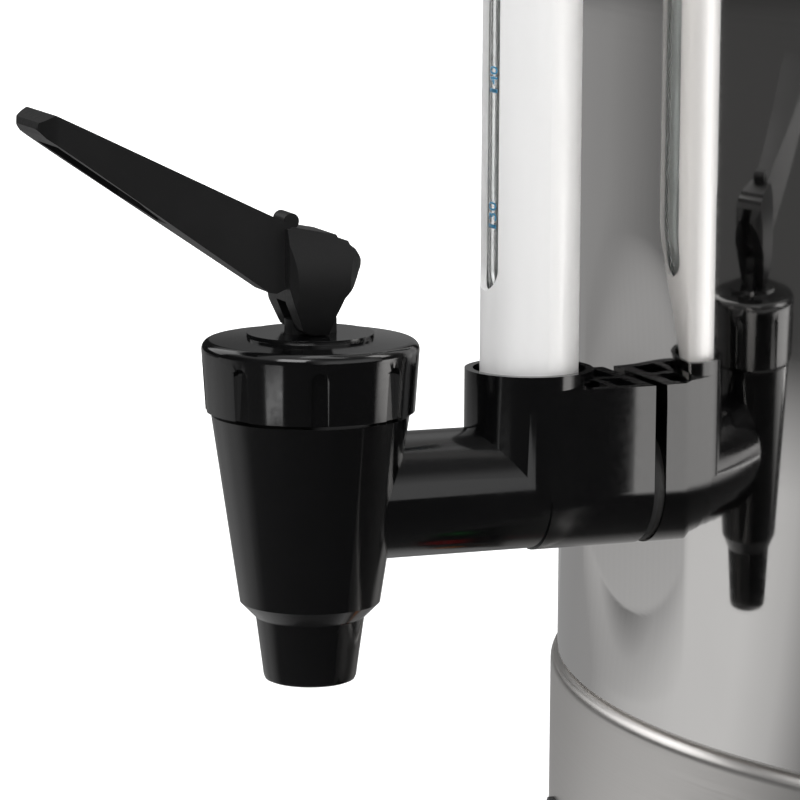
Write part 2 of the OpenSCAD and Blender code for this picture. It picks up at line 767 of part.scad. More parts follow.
// One unbroken wire: the radius stays, the height climbs, and both ends are closed
module valve_spring() {
    per_turn = 8;
    steps = spring_turns * per_turn;
    wire = spring_wire / 2;
    z0 = collar_z + collar_h + wire;
    z1 = ceiling_z - wire;
    centres = [for (i = [0 : steps]) let (a = 360 * i / per_turn)
        [spring_d / 2 * cos(a), spring_d / 2 * sin(a), z0 + (z1 - z0) * i / steps]];
    outward = [for (i = [0 : steps]) let (a = 360 * i / per_turn) [cos(a), sin(a), 0]];
    upward = [for (i = [0 : steps]) [0, 0, 1]];
    echo(spring_gap = (z1 - z0) / spring_turns - spring_wire);
    color("lightsteelblue") at_tap() ring_tube(centres, outward, upward, wire, 6);
}

// ---- lever ----
// The lever is drawn in a frame of its own: u outward from the pivot, v up and w across.
lever_tip_v = 35;            // height of the lower corner of the tip
tip_h = 4.2;
lip_u = 9.6;
lip_v = lever_tip_v - (lever_l - 1.4 - lip_u) * tan(arm_low_slope);
hub_top_v = 14.6;
hub_mid_v = 6;               // height of the hub's widest place
hub_curve_r = 25;            // how the hub's two sides swell
hub_round_r = 9.4;           // round back of the hub in plan
heel_back = 1.4;
nub_w = 6;                   // small round nub on top, where the hub meets the arm

// A cam whose distance from the pivot grows evenly with the angle: an involute of a small circle
function heel_point(a) =
    let (h = heel + cam_rise * a * PI / 180)
    [h * sin(a) + cam_rise * cos(a), -h * cos(a) + cam_rise * sin(a)];

// Side view of the hub, from the heel up to the strip on its top
module hub_side() {
    steps = 8;
    polygon(concat(
        [[-heel_back, -heel]],
        [for (i = [0 : steps]) heel_point(press_angle * i / steps)],
        [[5.8, 2.2], [6.6, 5.6], [6.6, hub_top_v + 1.8], [5, hub_top_v + 2.1],
         [-2.8, hub_top_v + 0.6], [-3.1, hub_top_v], [-5, hub_top_v - 0.6], [-5.3, hub_top_v - 1.3],
         [-6.3, hub_top_v - 2.1], [-7.7, hub_top_v - 3.6], [-8.7, hub_top_v - 4.7], [-8.3, hub_top_v - 5.6],
         [-7.4, hub_top_v - 6.5], [-5.9, hub_top_v - 9.1], [-4, hub_top_v - 11.3], [-2.5, 0]]));
}

// Side view of the arm, from inside the hub to the tip
module arm_side() {
    top_v = lever_tip_v + tip_h;
    top_u = lever_l - 3;
    root_u = 3;
    polygon([
        [root_u, top_v - (top_u - root_u) * tan(arm_top_slope)], [root_u, lip_v + 2],
        [lip_u - 1.4, lip_v - 0.2], [lip_u, lip_v],
        [lever_l - 1.4, lever_tip_v], [lever_l, lever_tip_v + 1.6], [lever_l - 0.4, lever_tip_v + 2.8],
        [top_u + 0.8, top_v - 0.4], [top_u, top_v]]);
}

// Front view of the hub: two shallow arcs that meet above and below it
module hub_front() {
    intersection() {
        translate([hub_curve_r - hub_w / 2, hub_mid_v]) circle(r = hub_curve_r, $fn = 4 * fine);
        translate([hub_w / 2 - hub_curve_r, hub_mid_v]) circle(r = hub_curve_r, $fn = 4 * fine);
        translate([-hub_w, -heel - 1]) square([2 * hub_w, hub_top_v + heel + 8]);
    }
}

// Plan of the arm: a waist behind, a paddle with round corners in front
module arm_plan() {
    round_r = 4;
    wide_u = lever_l - 9;
    polygon([
        [0, -waist_w / 2], [12, -waist_w / 2], [wide_u, -paddle_w / 2], [lever_l - round_r, -paddle_w / 2],
        [lever_l - round_r, paddle_w / 2], [wide_u, paddle_w / 2], [12, waist_w / 2], [0, waist_w / 2]]);
    translate([lever_l - round_r - 1, round_r - paddle_w / 2])
        square([round_r + 1, paddle_w - 2 * round_r]);
    for (s = [-1, 1]) translate([lever_l - round_r, s * (paddle_w / 2 - round_r)])
        circle(r = round_r, $fn = small);
}

// Turns a drawing in u and v into a solid that is w wide, standing at the pivot
module lever_slab(w) {
    at_tap(pivot_z) rotate([90, 0, -90]) translate([0, 0, -w / 2]) linear_extrude(w) children();
}

module lever_body() {
    wide = 30;
    lever_slab(nub_w) translate([4.9, hub_top_v + 3]) circle(r = 1.5, $fn = small);
    intersection() {
        lever_slab(wide) hub_side();
        at_tap(pivot_z) rotate([90, 0, 0]) translate([0, 0, -20]) linear_extrude(40) hub_front();
        at_tap(pivot_z - 20) cylinder(r = hub_round_r, h = 60, $fn = fine);
    }
    intersection() {
        lever_slab(wide) arm_side();
        at_tap(pivot_z - 20) rotate([0, 0, -90]) linear_extrude(80) arm_plan();
    }
}

module tap_lever() {
    channel_w = paddle_w - 6;
    channel_u = lever_l - 26;
    function low_v(u) = lever_tip_v - (lever_l - 1.4 - u) * tan(arm_low_slope);
    color("#1c1c1d") difference() {
        lever_body();
        lever_slab(fork_w) {
            circle(r = slot_r, $fn = fine);
            translate([-14, -12]) square([23, 14.5]);
            translate([-14, 0]) square([11, hub_top_v - 2.4]);
        }
        intersection() {
            lever_slab(channel_w) polygon([
                [channel_u, low_v(channel_u) - 6], [channel_u, low_v(channel_u) + channel_deep * 0.4],
                [lever_l - 12, low_v(lever_l - 12) + channel_deep],
                [lever_l - 4, low_v(lever_l - 4) + channel_deep * 0.4], [lever_l - 4, low_v(lever_l - 4) - 6]]);
            at_tap(pivot_z - 20) rotate([0, 0, -90]) linear_extrude(80) difference() {
                arm_plan();
                for (s = [-1, 1]) translate([lever_l - 26, s * (paddle_w / 2 + 1.5)]) circle(r = 8, $fn = fine);
            }
        }
        at_tap(pivot_z) translate([-hub_w, 0, 0]) rotate([0, 90, 0])
            cylinder(r = pin_d / 2 + run_fit, h = hub_w + pin_end + run_fit, $fn = small);
    }
}

// Pushed in from one side; the hub closes over its other end
module lever_pin() {
    color("silver") at_tap(pivot_z) translate([-pin_end, 0, 0]) rotate([0, 90, 0])
        cylinder(d = pin_d, h = 2 * pin_end, $fn = small);
}

// ---- sealing and fixing of the shank ----
module outer_gasket() {
    color("#303030") translate([0, -seat_y, shank_z]) forward()
        pipe(cup_r - 0.4, tail_d / 2 + 0.1, gasket_t, small);
}

inner_seal_t = 2;
washer_t = 1.2;
nut_h = 8;
module inner_gasket() {
    color("#b7b7b0") translate([0, -seat_y + tank_t + inner_seal_t, shank_z]) forward()
        pipe(15, tail_d / 2 + 0.1, inner_seal_t, small);
}

module lock_washer() {
    color("silver") translate([0, -seat_y + tank_t + inner_seal_t + washer_t, shank_z]) forward()
        pipe(14.5, tail_d / 2 + 0.1, washer_t, small);
}

module shank_nut() {
    color("silver") translate([0, -seat_y + tank_t + inner_seal_t + washer_t + nut_h, shank_z]) forward()
        hex_nut(27, tail_d + 0.2, nut_h);
}

// ============================ gauge ============================

module gauge_seal() {
    color("#2b2b2b") at_gauge(cup_floor_z) pipe(cup_bore_d / 2 - 0.1, glass_r - glass_t - 1.2, lower_seal_t, small);
}

module gauge_glass() {
    color("lightcyan", 0.5) at_gauge(gauge_foot_z)
        pipe(glass_r, glass_r - glass_t, glass_top_z - gauge_foot_z, small);
}

module gauge_shield() {
    half = sight_w / 2;
    slot_z = wall_z + sight_up + half;
    slot_l = shield_top_z - sight_down - wall_z - sight_up - sight_w;
    color("gainsboro") at_gauge() difference() {
        translate([0, 0, gauge_foot_z])
            pipe(shield_r, shield_r - shield_t, shield_top_z - gauge_foot_z);
        translate([-half, -shield_d, slot_z]) cube([sight_w, 2 * shield_d, slot_l]);
        for (z = [slot_z, slot_z + slot_l]) translate([0, shield_d, z]) forward()
            cylinder(r = half, h = 2 * shield_d, $fn = small);
    }
}

module gauge_holder() {
    bore_r = shield_r + 0.15;
    color("#161617") difference() {
        union() {
            at_gauge(holder_z) cylinder(r = holder_r, h = holder_h, $fn = fine);
            translate([-holder_web_w / 2, -gauge_y, holder_z]) cube([holder_web_w, gauge_reach + 6, holder_h]);
            translate([-14, -tank_r - 3, holder_z - 2]) cube([28, 9, holder_h + 4]);
        }
        cylinder(r = tank_r, h = rim_z, $fn = wall_sides);
        at_gauge(holder_z - 1) cylinder(r = bore_r, h = shield_top_z + slip - holder_z + 1, $fn = fine);
        at_gauge(holder_z) cylinder(r = glass_r + 0.2, h = holder_h + 1, $fn = small);
        for (s = [-1, 1]) translate([0, -tank_r + 2, holder_z + holder_h / 2 + s * holder_screw_gap / 2])
            forward() cylinder(d = holder_screw_d, h = 9, $fn = small);
    }
}

module gauge_top_seal() {
    color("#b7b7b0") at_gauge(holder_top_z) pipe(top_seal_r, glass_r + 0.05, 2.2, small);
}

module gauge_cap() {
    color("#161617") at_gauge(holder_top_z) difference() {
        cylinder(r = holder_r - 1, h = cap_h, $fn = fine);
        translate([0, 0, -eps]) cylinder(r = top_seal_r + 0.1, h = cap_h - 2.5, $fn = small);
        translate([0, 0, -1]) cylinder(r = 0.9, h = cap_h + 2, $fn = 16);
        for (a = [0 : 30 : 330]) rotate([0, 0, a]) translate([holder_r - 0.4, 0, 1.5])
            cylinder(r = 1.1, h = cap_h, $fn = 16);
    }
}

module holder_screws() {
    head_d = 8;
    head_y = sqrt(inner_r * inner_r - head_d * head_d / 4) - 0.02;
    color("silver") for (s = [-1, 1])
        translate([0, -head_y, holder_z + holder_h / 2 + s * holder_screw_gap / 2]) rotate([-90, 0, 0])
            pan_screw(holder_screw_d - slip, tank_t + 7, head_d, 2.6);
}

// ============================ handles ============================

// One leg about its own axis: a round foot that flows into the leg
module handle_leg(l) {
    foot_r = handle_foot_d / 2;
    flare = foot_r - handle_r;
    rotate_extrude($fn = fine) {
        square([handle_r, l]);
        square([foot_r, handle_sink + 6]);
        translate([0, handle_sink + 6]) difference() {
            square([foot_r, flare]);
            translate([foot_r + 0.5, flare + 0.5]) circle(r = flare, $fn = fine);
        }
    }
}

handle_sink = 8;            // the leg is drawn this far inside the wall and trimmed to it
module handle() {
    bar_l = handle_span - 2 * handle_bend;
    leg_x = handle_x - handle_bend;
    difference() {
        union() {
            translate([handle_x, 0, handle_z]) rotate([90, 0, 0])
                cylinder(r = handle_r, h = bar_l, center = true, $fn = small);
            for (s = [0, 1]) mirror([0, s, 0]) {
                translate([leg_x, bar_l / 2, handle_z]) rotate_extrude(angle = 90, $fn = fine)
                    translate([handle_bend, 0]) circle(r = handle_r, $fn = small);
                translate([leg_wall_x - handle_sink, leg_y, handle_z]) rotate([0, 90, 0])
                    handle_leg(leg_x - leg_wall_x + handle_sink);
            }
        }
        translate([0, 0, wall_z]) cylinder(r = tank_r, h = tank_h, $fn = wall_sides);
        for (s = [-1, 1]) translate([leg_wall_x - 10, s * leg_y, handle_z]) rotate([0, 90, 0])
            cylinder(d = handle_screw_d, h = 30, $fn = small);
    }
}

module handle_right() { color("#161617") handle(); }
module handle_left() { color("#161617") mirror([1, 0, 0]) handle(); }

// Places a shape at each handle screw, with +Z pointing from the wall into the tank
module at_handle_screws(inset) {
    for (sx = [-1, 1], sy = [-1, 1])
        translate([sx * (sqrt(inner_r * inner_r - leg_y * leg_y) - inset), sy * leg_y, handle_z])
            rotate([0, -90 * sx, 0]) children();
}

handle_washer_t = 1.5;
handle_washer_in = 2.6;     // the flat washer clears the curved wall by this at its middle
module handle_washers() {
    color("#b7b7b0") at_handle_screws(handle_washer_in)
        pipe(7, handle_screw_d / 2 + 0.1, handle_washer_t, small);
}

module handle_screws() {
    color("silver") at_handle_screws(handle_washer_in + handle_washer_t)
        pan_screw(handle_screw_d - slip, handle_washer_in + handle_washer_t + tank_t + 16, 10, 3);
}

// ============================ base ============================

module skirt_profile() {
    in_r = base_r - base_t;
    corner_r = base_r - shoulder_r;
    corner_z = base_top_z - shoulder_r;
    translate([in_r, skirt_z]) square([base_t, corner_z - skirt_z]);
    intersection() {
        translate([corner_r, corner_z]) difference() {
            circle(r = shoulder_r, $fn = fine);
            circle(r = shoulder_r - base_t, $fn = fine);
        }
        translate([corner_r, corner_z]) square([shoulder_r, shoulder_r]);
    }
    translate([spigot_r - base_t, base_top_z - base_t]) square([corner_r - spigot_r + base_t + eps, base_t]);
    translate([spigot_r - base_t, base_top_z - base_t]) square([base_t, floor_z - base_top_z + base_t]);
    translate([base_r - 12, skirt_z]) square([12 - base_t / 2, base_t]);
}

module base_skirt() {
    color("#c9c6c2") difference() {
        rotate_extrude($fn = fine) skirt_profile();
        translate([-switch_w / 2 + 0.8, -base_r - 2, panel_at - switch_h / 2 + 0.8])
            cube([switch_w - 1.6, 20, switch_h - 1.6]);
        for (s = [-1, 1]) translate([s * lamp_at, -base_r + 20, panel_at]) forward()
            cylinder(r = lamp_r - 1, h = 30, $fn = small);
        translate([-inlet_w / 2 - 2.4, base_r - 20, inlet_z - inlet_h / 2 - 2.4])
            cube([inlet_w + 4.8, 30, inlet_h + 4.8]);
        for (s = [-1, 1]) translate([s * inlet_screw_at, base_r + 10, inlet_z]) forward()
            cylinder(r = 1.4, h = 30, $fn = small);
    }
}

module base_plate() {
    color("#a9abad") translate([0, 0, plate_z]) difference() {
        cylinder(r = base_r - base_t, h = plate_t, $fn = fine);
        for (a = [0 : 15 : 345]) rotate([0, 0, a])
            translate([46, -air_slot_w / 2, -1]) cube([air_slot_l, air_slot_w, plate_t + 2]);
        translate([0, 0, -1]) {
            on_circle(post_angles(), post_at) cylinder(r = 2.4, h = plate_t + 2, $fn = small);
            on_circle(foot_angles(), foot_at) cylinder(r = 2.2, h = plate_t + 2, $fn = small);
        }
    }
}

module feet() {
    color("#1a1a1a") on_circle(foot_angles(), foot_at) difference() {
        cylinder(r1 = foot_d / 2 - 2, r2 = foot_d / 2, h = foot_h, $fn = small);
        translate([0, 0, -eps]) cylinder(r = 5, h = foot_h - 4 + eps, $fn = small);
        translate([0, 0, -eps]) cylinder(r = 2.1, h = foot_h + 1, $fn = small);
    }
}

module foot_screws() {
    color("silver") on_circle(foot_angles(), foot_at) translate([0, 0, foot_h - 4])
        rotate([180, 0, 0]) pan_screw(4, 4 + plate_t + 5, 8, 2.6);
}

module foot_nuts() {
    color("silver") on_circle(foot_angles(), foot_at) translate([0, 0, foot_h + plate_t])
        hex_nut(7, 4.1, 3.2);
}

module base_posts() {
    color("silver") on_circle(post_angles(), post_at) translate([0, 0, plate_z + plate_t])
        pipe(post_d / 2, 2.1, floor_z - plate_z - plate_t, small);
}

module base_screws() {
    color("silver") on_circle(post_angles(), post_at) translate([0, 0, plate_z])
        rotate([180, 0, 0]) pan_screw(4.1, plate_t + 12, 9, 2.8);
}

// ============================ heating and wiring ============================

element_gap = 40;        // angle left open between an element's two ends
element_drop = 12;       // length of an element's turned-down ends
element_bend = element_r + 3;
pin_drop = 9;            // length of the terminal pin below each end
pin_end_z = floor_z - element_r - 0.8 - element_bend - element_drop - pin_drop;
ferrule_l = 4;           // collar over the joint between the ring and each turned-down end
ferrule_play = 0.3;      // angle that the ring stops short inside its ferrules
module ring_element(r) {
    z = floor_z - element_r - 0.8;
    rotate([0, 0, 90]) {
        translate([0, 0, z]) rotate([0, 0, element_gap / 2 + ferrule_play])
            rotate_extrude(angle = 360 - element_gap - 2 * ferrule_play, $fn = fine)
                translate([r, 0]) circle(r = element_r, $fn = small);
        for (s = [0, 1]) mirror([0, s, 0]) rotate([0, 0, element_gap / 2]) {
            translate([r, ferrule_l / 2, z]) forward()
                cylinder(r = element_r + 0.8, h = ferrule_l, $fn = small);
            translate([r, 0, z - element_bend]) rotate([90, 0, 90]) rotate([0, 0, 90])
                rotate_extrude(angle = 90, $fn = fine)
                    translate([element_bend, 0]) circle(r = element_r, $fn = small);
            translate([r, -element_bend, z - element_bend - element_drop])
                cylinder(r = element_r, h = element_drop, $fn = small);
            translate([r, -element_bend, pin_end_z])
                cylinder(r = 1.5, h = pin_drop + 1, $fn = small);
        }
    }
}

// Where an element's terminal pin ends, on the side given as -1 or 1
function element_pin(r, side) =
    let (g = element_gap / 2)
    [side * (r * sin(g) - element_bend * cos(g)), r * cos(g) + element_bend * sin(g), pin_end_z];

module brew_element() { color("dimgray") ring_element(brew_ring_r); }
module warm_element() { color("slategray") ring_element(warm_ring_r); }

// A snap disc in its cap, with a flange against the tank floor and two blades
module snap_disc(r, h) {
    flange_t = 1.2;
    translate([0, 0, -flange_t]) cylinder(r = r + 3, h = flange_t, $fn = small);
    translate([0, 0, -flange_t - h]) cylinder(r = r, h = h + eps, $fn = small);
    for (s = [-1, 1]) translate([s * r * 0.45 - 0.4, -3, -flange_t - h - 8]) cube([0.8, 6, 8 + eps]);
}

sensor_at = 88;
module thermostat() { color("#3a2f28") rotate([0, 0, 205]) translate([sensor_at, 0, floor_z]) snap_disc(8, 10); }
module thermal_cutout() { color("#51463c") rotate([0, 0, 235]) translate([sensor_at, 0, floor_z]) snap_disc(6, 7); }

block_y = 80;
block_h = 16;
module terminal_block() {
    color("whitesmoke") translate([0, block_y, plate_z + plate_t]) difference() {
        translate([-26, -9, 0]) cube([52, 18, block_h]);
        for (x = [-17 : 17 : 17]) {
            translate([x, 0, 4]) cylinder(r = 3.2, h = block_h, $fn = small);
            translate([x, 10, 7]) forward() cylinder(r = 2.4, h = 20, $fn = small);
        }
    }
}

// A lead is a smooth curve that leaves one terminal along from_dir and meets the other along to_dir
module lead(from, from_dir, to, to_dir) {
    steps = 16;
    handle_a = from + from_dir;
    handle_b = to - to_dir;
    curve = [for (i = [0 : steps]) let (t = i / steps, u = 1 - t)
        u * u * u * from + 3 * u * u * t * handle_a + 3 * u * t * t * handle_b + t * t * t * to];
    along = [for (i = [0 : steps]) let (t = i / steps, u = 1 - t,
        d = u * u * from_dir + 2 * u * t * (handle_b - handle_a) + t * t * to_dir) d / norm(d)];
    across = [for (d = along) let (c = cross(d, [1, 0, 0])) c / norm(c)];
    third = [for (i = [0 : steps]) cross(across[i], along[i])];
    ring_tube(curve, third, across, lead_r, 8);
}

module inner_leads() {
    block_z = plate_z + plate_t + 7;
    hole_y = block_y - 9;
    blade_y = -panel_y + switch_deep + 8;
    color("#8a1f1f") for (s = [-1, 1]) {
        lead(element_pin(brew_ring_r, s), [0, 0, -36], [s * 17, hole_y + 2, block_z], [0, 34, 0]);
        lead(element_pin(warm_ring_r, s), [0, 0, -40], [s * 5, blade_y, panel_at + s * 5], [0, -70, 0]);
        lead([s * 7, inlet_foot_y - pin_tail, inlet_z - 2], [0, -22, 0],
             [s * 17, block_y + 7, block_z], [0, -22, 0]);
    }
}

// ============================ switch panel ============================

// A block that follows the base skirt's curve behind and is flat in front
module curved_pad(w, h, flat_y) {
    difference() {
        translate([0, -base_r + 12, panel_at]) forward()
            linear_extrude(flat_y - base_r + 12) round_rect(w, h, 5);
        translate([0, 0, panel_at - h]) cylinder(r = base_r, h = 2 * h, $fn = wall_sides);
    }
}

module control_panel() {
    color("#1d1d1e") difference() {
        union() {
            intersection() {
                curved_pad(panel_w, panel_h, base_r + 12);
                translate([0, 0, panel_at - panel_h]) cylinder(r = panel_side_r, h = 2 * panel_h, $fn = wall_sides);
            }
            curved_pad(switch_w + 12, panel_h - 4, panel_y);
            for (s = [-1, 1]) difference() {
                translate([s * lamp_at, -lamp_y + 6, panel_at]) forward()
                    cylinder(r = lamp_ring_r, h = 6, $fn = small);
                translate([0, 0, panel_at - panel_h]) cylinder(r = base_r, h = 2 * panel_h, $fn = wall_sides);
            }
        }
        translate([-switch_w / 2 + 1.2, -panel_y - 1, panel_at - switch_h / 2 + 1.2])
            cube([switch_w - 2.4, 20, switch_h - 2.4]);
        for (s = [-1, 1]) translate([s * lamp_at, -base_r + 20, panel_at]) forward()
            cylinder(r = lamp_r - 1, h = 40, $fn = small);
    }
}

// Places a shape at the switch, drawn in X and Z with +Y into the base
module at_switch() { translate([0, -panel_y, panel_at]) children(); }

module switch_frame() {
    body_w = switch_w - 2.6;
    body_h = switch_h - 2.6;
    color("#101011") difference() {
        union() {
            at_switch() forward() linear_extrude(2) round_rect(switch_w, switch_h, 1.5);
            at_switch() translate([-body_w / 2, -eps, -body_h / 2]) cube([body_w, switch_deep, body_h]);
            for (s = [-1, 1]) at_switch() translate([s * 5 - 0.4, switch_deep - eps, s * 5 - 3]) cube([0.8, 8, 6]);
        }
        at_switch() translate([-rocker_w / 2 - 0.4, -3, -rocker_h / 2 - 0.8])
            cube([rocker_w + 0.8, 14, rocker_h + 1.6]);
        translate([0, -rocker_y, panel_at]) rotate([0, 90, 0])
            cylinder(r = 1.5 + run_fit, h = rocker_w + 3.2, center = true, $fn = small);
    }
}

// Shown switched off: the upper half stands out
module switch_rocker() {
    half = rocker_h / 2;
    color("#a01818") translate([0, -rocker_y, panel_at]) rotate([rocker_angle / 2, 0, 0]) {
        rotate([90, 0, 90]) translate([0, 0, -rocker_w / 2]) linear_extrude(rocker_w) polygon([
            [-3.4, half], [-4.6, 0], [-3.4, -half], [1.2, -half + 0.4], [6, -4], [6, 4], [1.2, half - 0.4]]);
        rotate([0, 90, 0]) cylinder(r = 1.5, h = rocker_w + 2.6, center = true, $fn = small);
    }
}

module lamp_bodies() {
    color("#2a2a2a") for (s = [-1, 1]) translate([s * lamp_at, -lamp_y + 24, panel_at]) forward()
        difference() {
            cylinder(r = lamp_r - 1.2, h = 24, $fn = small);
            translate([0, 0, 12]) cylinder(r = lamp_r - 2.4, h = 20, $fn = small);
        }
}

module lamp_lens() {
    forward() {
        cylinder(r = lamp_r, h = 1.4, $fn = small);
        translate([0, 0, -5]) cylinder(r = lamp_r - 2.5, h = 5 + eps, $fn = small);
        translate([0, 0, 1.4 - eps]) cylinder(r1 = lamp_r - 1, r2 = lamp_r - 2.4, h = 1.8, $fn = small);
    }
}

module brew_lens() { color("orange") translate([-lamp_at, -lamp_y, panel_at]) lamp_lens(); }
module ready_lens() { color("limegreen") translate([lamp_at, -lamp_y, panel_at]) lamp_lens(); }

// ============================ power inlet ============================

module inlet_surround() {
    color("#1d1d1e") difference() {
        translate([0, inlet_y, inlet_z]) forward()
            linear_extrude(12) round_rect(inlet_flange_w + 8, inlet_flange_h + 8, 5);
        translate([0, 0, inlet_z - inlet_flange_h])
            cylinder(r = base_r, h = 2 * inlet_flange_h, $fn = wall_sides);
        translate([0, base_r + 20, inlet_z]) forward() {
            linear_extrude(40) square([inlet_w + 4, inlet_h + 4], center = true);
            for (s = [-1, 1]) translate([s * inlet_screw_at, 0, 0]) cylinder(r = 1.3, h = 40, $fn = small);
        }
    }
}

module power_inlet() {
    color("#111112") difference() {
        translate([0, inlet_y + inlet_flange_t, inlet_z]) forward() {
            linear_extrude(inlet_flange_t) round_rect(inlet_flange_w, inlet_flange_h, 4);
            linear_extrude(inlet_flange_t + inlet_deep + 2) square([inlet_w + 3.4, inlet_h + 3.4], center = true);
        }
        translate([0, inlet_y + inlet_flange_t + 1, inlet_z]) forward() {
            linear_extrude(inlet_deep + 1) polygon([
                [-inlet_w / 2, -inlet_h / 2], [inlet_w / 2, -inlet_h / 2], [inlet_w / 2, inlet_h / 2 - 4],
                [inlet_w / 2 - 4, inlet_h / 2], [-inlet_w / 2 + 4, inlet_h / 2],
                [-inlet_w / 2, inlet_h / 2 - 4]]);
            for (s = [-1, 1]) translate([s * inlet_screw_at, 0, 0]) cylinder(r = 1.7, h = 40, $fn = small);
        }
        inlet_blades(slip);
    }
}

// Two blades in a row and a third above them, each grown on its sides by a clearance
module inlet_blades(clear) {
    for (p = [[-7, -2], [7, -2], [0, 2]])
        translate([p.x - 1 - clear, inlet_foot_y - pin_tail, inlet_z + p.y - 2 - clear])
            cube([2 + 2 * clear, blade_l + pin_tail, 4 + 2 * clear]);
}
module inlet_pins() { color("silver") inlet_blades(0); }

module inlet_screws() {
    color("silver") for (s = [-1, 1]) translate([s * inlet_screw_at, inlet_y + inlet_flange_t, inlet_z])
        rotate([-90, 0, 0]) pan_screw(2.6, 9, 5.6, 1.8);
}

tank();
lid();
lid_knob();
knob_guard();
knob_screw();
basket();
basket_lid();
pump_tube();
basket_collar();
pump_bell();
pump_washer();
tap_body();
tap_bonnet();
valve_stem();
seat_cup();
valve_spring();
tap_lever();
lever_pin();
outer_gasket();
inner_gasket();
lock_washer();
shank_nut();
gauge_seal();
gauge_glass();
gauge_shield();
gauge_holder();
gauge_top_seal();
gauge_cap();
holder_screws();
handle_left();
handle_right();
handle_screws();
handle_washers();
base_skirt();
base_plate();
feet();
foot_screws();
foot_nuts();
base_posts();
base_screws();
brew_element();
warm_element();
thermostat();
thermal_cutout();
terminal_block();
inner_leads();
control_panel();
switch_frame();
switch_rocker();
lamp_bodies();
brew_lens();
ready_lens();
inlet_surround();
power_inlet();
inlet_pins();
inlet_screws();
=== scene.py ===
"""Coffee urn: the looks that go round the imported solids."""

import math

import bmesh
import bpy
from bpy.props import FloatProperty, FloatVectorProperty, IntProperty, PointerProperty
from mathutils import Matrix, Vector


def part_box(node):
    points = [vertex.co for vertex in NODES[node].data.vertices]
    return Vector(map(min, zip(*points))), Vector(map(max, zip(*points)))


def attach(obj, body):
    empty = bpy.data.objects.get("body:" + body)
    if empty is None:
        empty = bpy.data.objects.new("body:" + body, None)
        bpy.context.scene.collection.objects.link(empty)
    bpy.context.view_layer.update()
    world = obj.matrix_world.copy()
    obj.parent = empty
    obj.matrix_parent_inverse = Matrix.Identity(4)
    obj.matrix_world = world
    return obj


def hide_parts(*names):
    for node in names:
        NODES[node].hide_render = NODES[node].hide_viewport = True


bl_info = {
    "name": "Coffee Urn",
    "version": (1, 0, 0),
    "blender": (4, 5, 0),
    "location": "3D View > Sidebar > Urn",
    "description": "Adds the visible pieces, finishes and studio of a coffee urn with a lever tap",
    "category": "Object",
}

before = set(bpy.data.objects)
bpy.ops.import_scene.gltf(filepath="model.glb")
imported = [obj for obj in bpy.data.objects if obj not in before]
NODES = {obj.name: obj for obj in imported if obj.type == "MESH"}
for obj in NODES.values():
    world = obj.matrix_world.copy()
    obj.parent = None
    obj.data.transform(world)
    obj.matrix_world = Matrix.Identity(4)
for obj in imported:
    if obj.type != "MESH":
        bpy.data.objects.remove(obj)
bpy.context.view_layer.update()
MM = 0.001


# ---------------------------------------------------------------- sizes and colours

def swatch(name, value, description):
    """A colour that the user can change."""
    return FloatVectorProperty(name=name, subtype="COLOR", size=3, min=0, max=1,
                               default=value, description=description)


def length(name, value, description, low=0.0, high=1.0):
    """A length in metres that the user can change."""
    return FloatProperty(name=name, unit="LENGTH", default=value, min=low, max=high,
                         precision=5, description=description)


class UrnColours(bpy.types.PropertyGroup):
    """Colours of the urn's finishes"""
    mirror_steel: swatch("Mirror steel", (0.80, 0.785, 0.77), "Polished steel of the tank")
    satin_steel: swatch("Satin steel", (0.74, 0.72, 0.70), "Brushed steel of the base and lid")
    plain_steel: swatch("Plain steel", (0.62, 0.61, 0.60), "Screws, nuts and inner steel parts")
    shield: swatch("Shield", (0.965, 0.96, 0.955), "Satin metal of the gauge's shield")
    tap: swatch("Tap plastic", (0.0026, 0.0026, 0.0028), "Gloss black plastic of the tap")
    lever: swatch("Lever plastic", (0.0060, 0.0060, 0.0062), "Satin black plastic of the lever")
    grip: swatch("Grip plastic", (0.0120, 0.0120, 0.0125), "Matt black plastic of knob and handles")
    rubber: swatch("Rubber", (0.018, 0.018, 0.018), "Dark rubber of seals and feet")
    silicone: swatch("Silicone", (0.72, 0.71, 0.67), "Milky silicone of the inner seals")
    figures: swatch("Figures", (0.030, 0.200, 0.360), "Blue print on the glass")
    rocker: swatch("Rocker", (0.48, 0.012, 0.010), "Red rocker of the switch")
    amber: swatch("Amber lens", (0.90, 0.28, 0.02), "Lens of the brewing lamp")
    green: swatch("Green lens", (0.05, 0.50, 0.10), "Lens of the ready lamp")
    floor: swatch("Floor", (0.83, 0.83, 0.83), "Plain pale floor")


class UrnSizes(bpy.types.PropertyGroup):
    """Small sizes that the solids don't hold"""
    tap_edge: length("Tap edge", 0.00035, "Radius of the moulded edges of the tap")
    bonnet_edge: length("Bonnet edge", 0.00022, "Radius of the edges of the bonnet's slots")
    lever_edge: length("Lever edge", 0.0009, "Radius of the lever's edges")
    grip_edge: length("Grip edge", 0.0006, "Radius of the edges of the other black parts")
    figure_h: length("Figure height", 0.0036, "Height of the figures on the glass")
    figure_base: length("First mark", 0.1946, "Height of the lowest mark on the glass")
    figure_rise: length("Rise of ten", 0.02575, "Rise of the level for ten cups")
    figure_first: IntProperty(name="First figure", default=30, min=10, max=90,
                              description="Number of cups at the lowest mark")
    figure_last: IntProperty(name="Last figure", default=100, min=20, max=200,
                             description="Number of cups at the highest mark")


# ---------------------------------------------------------------- shared node groups

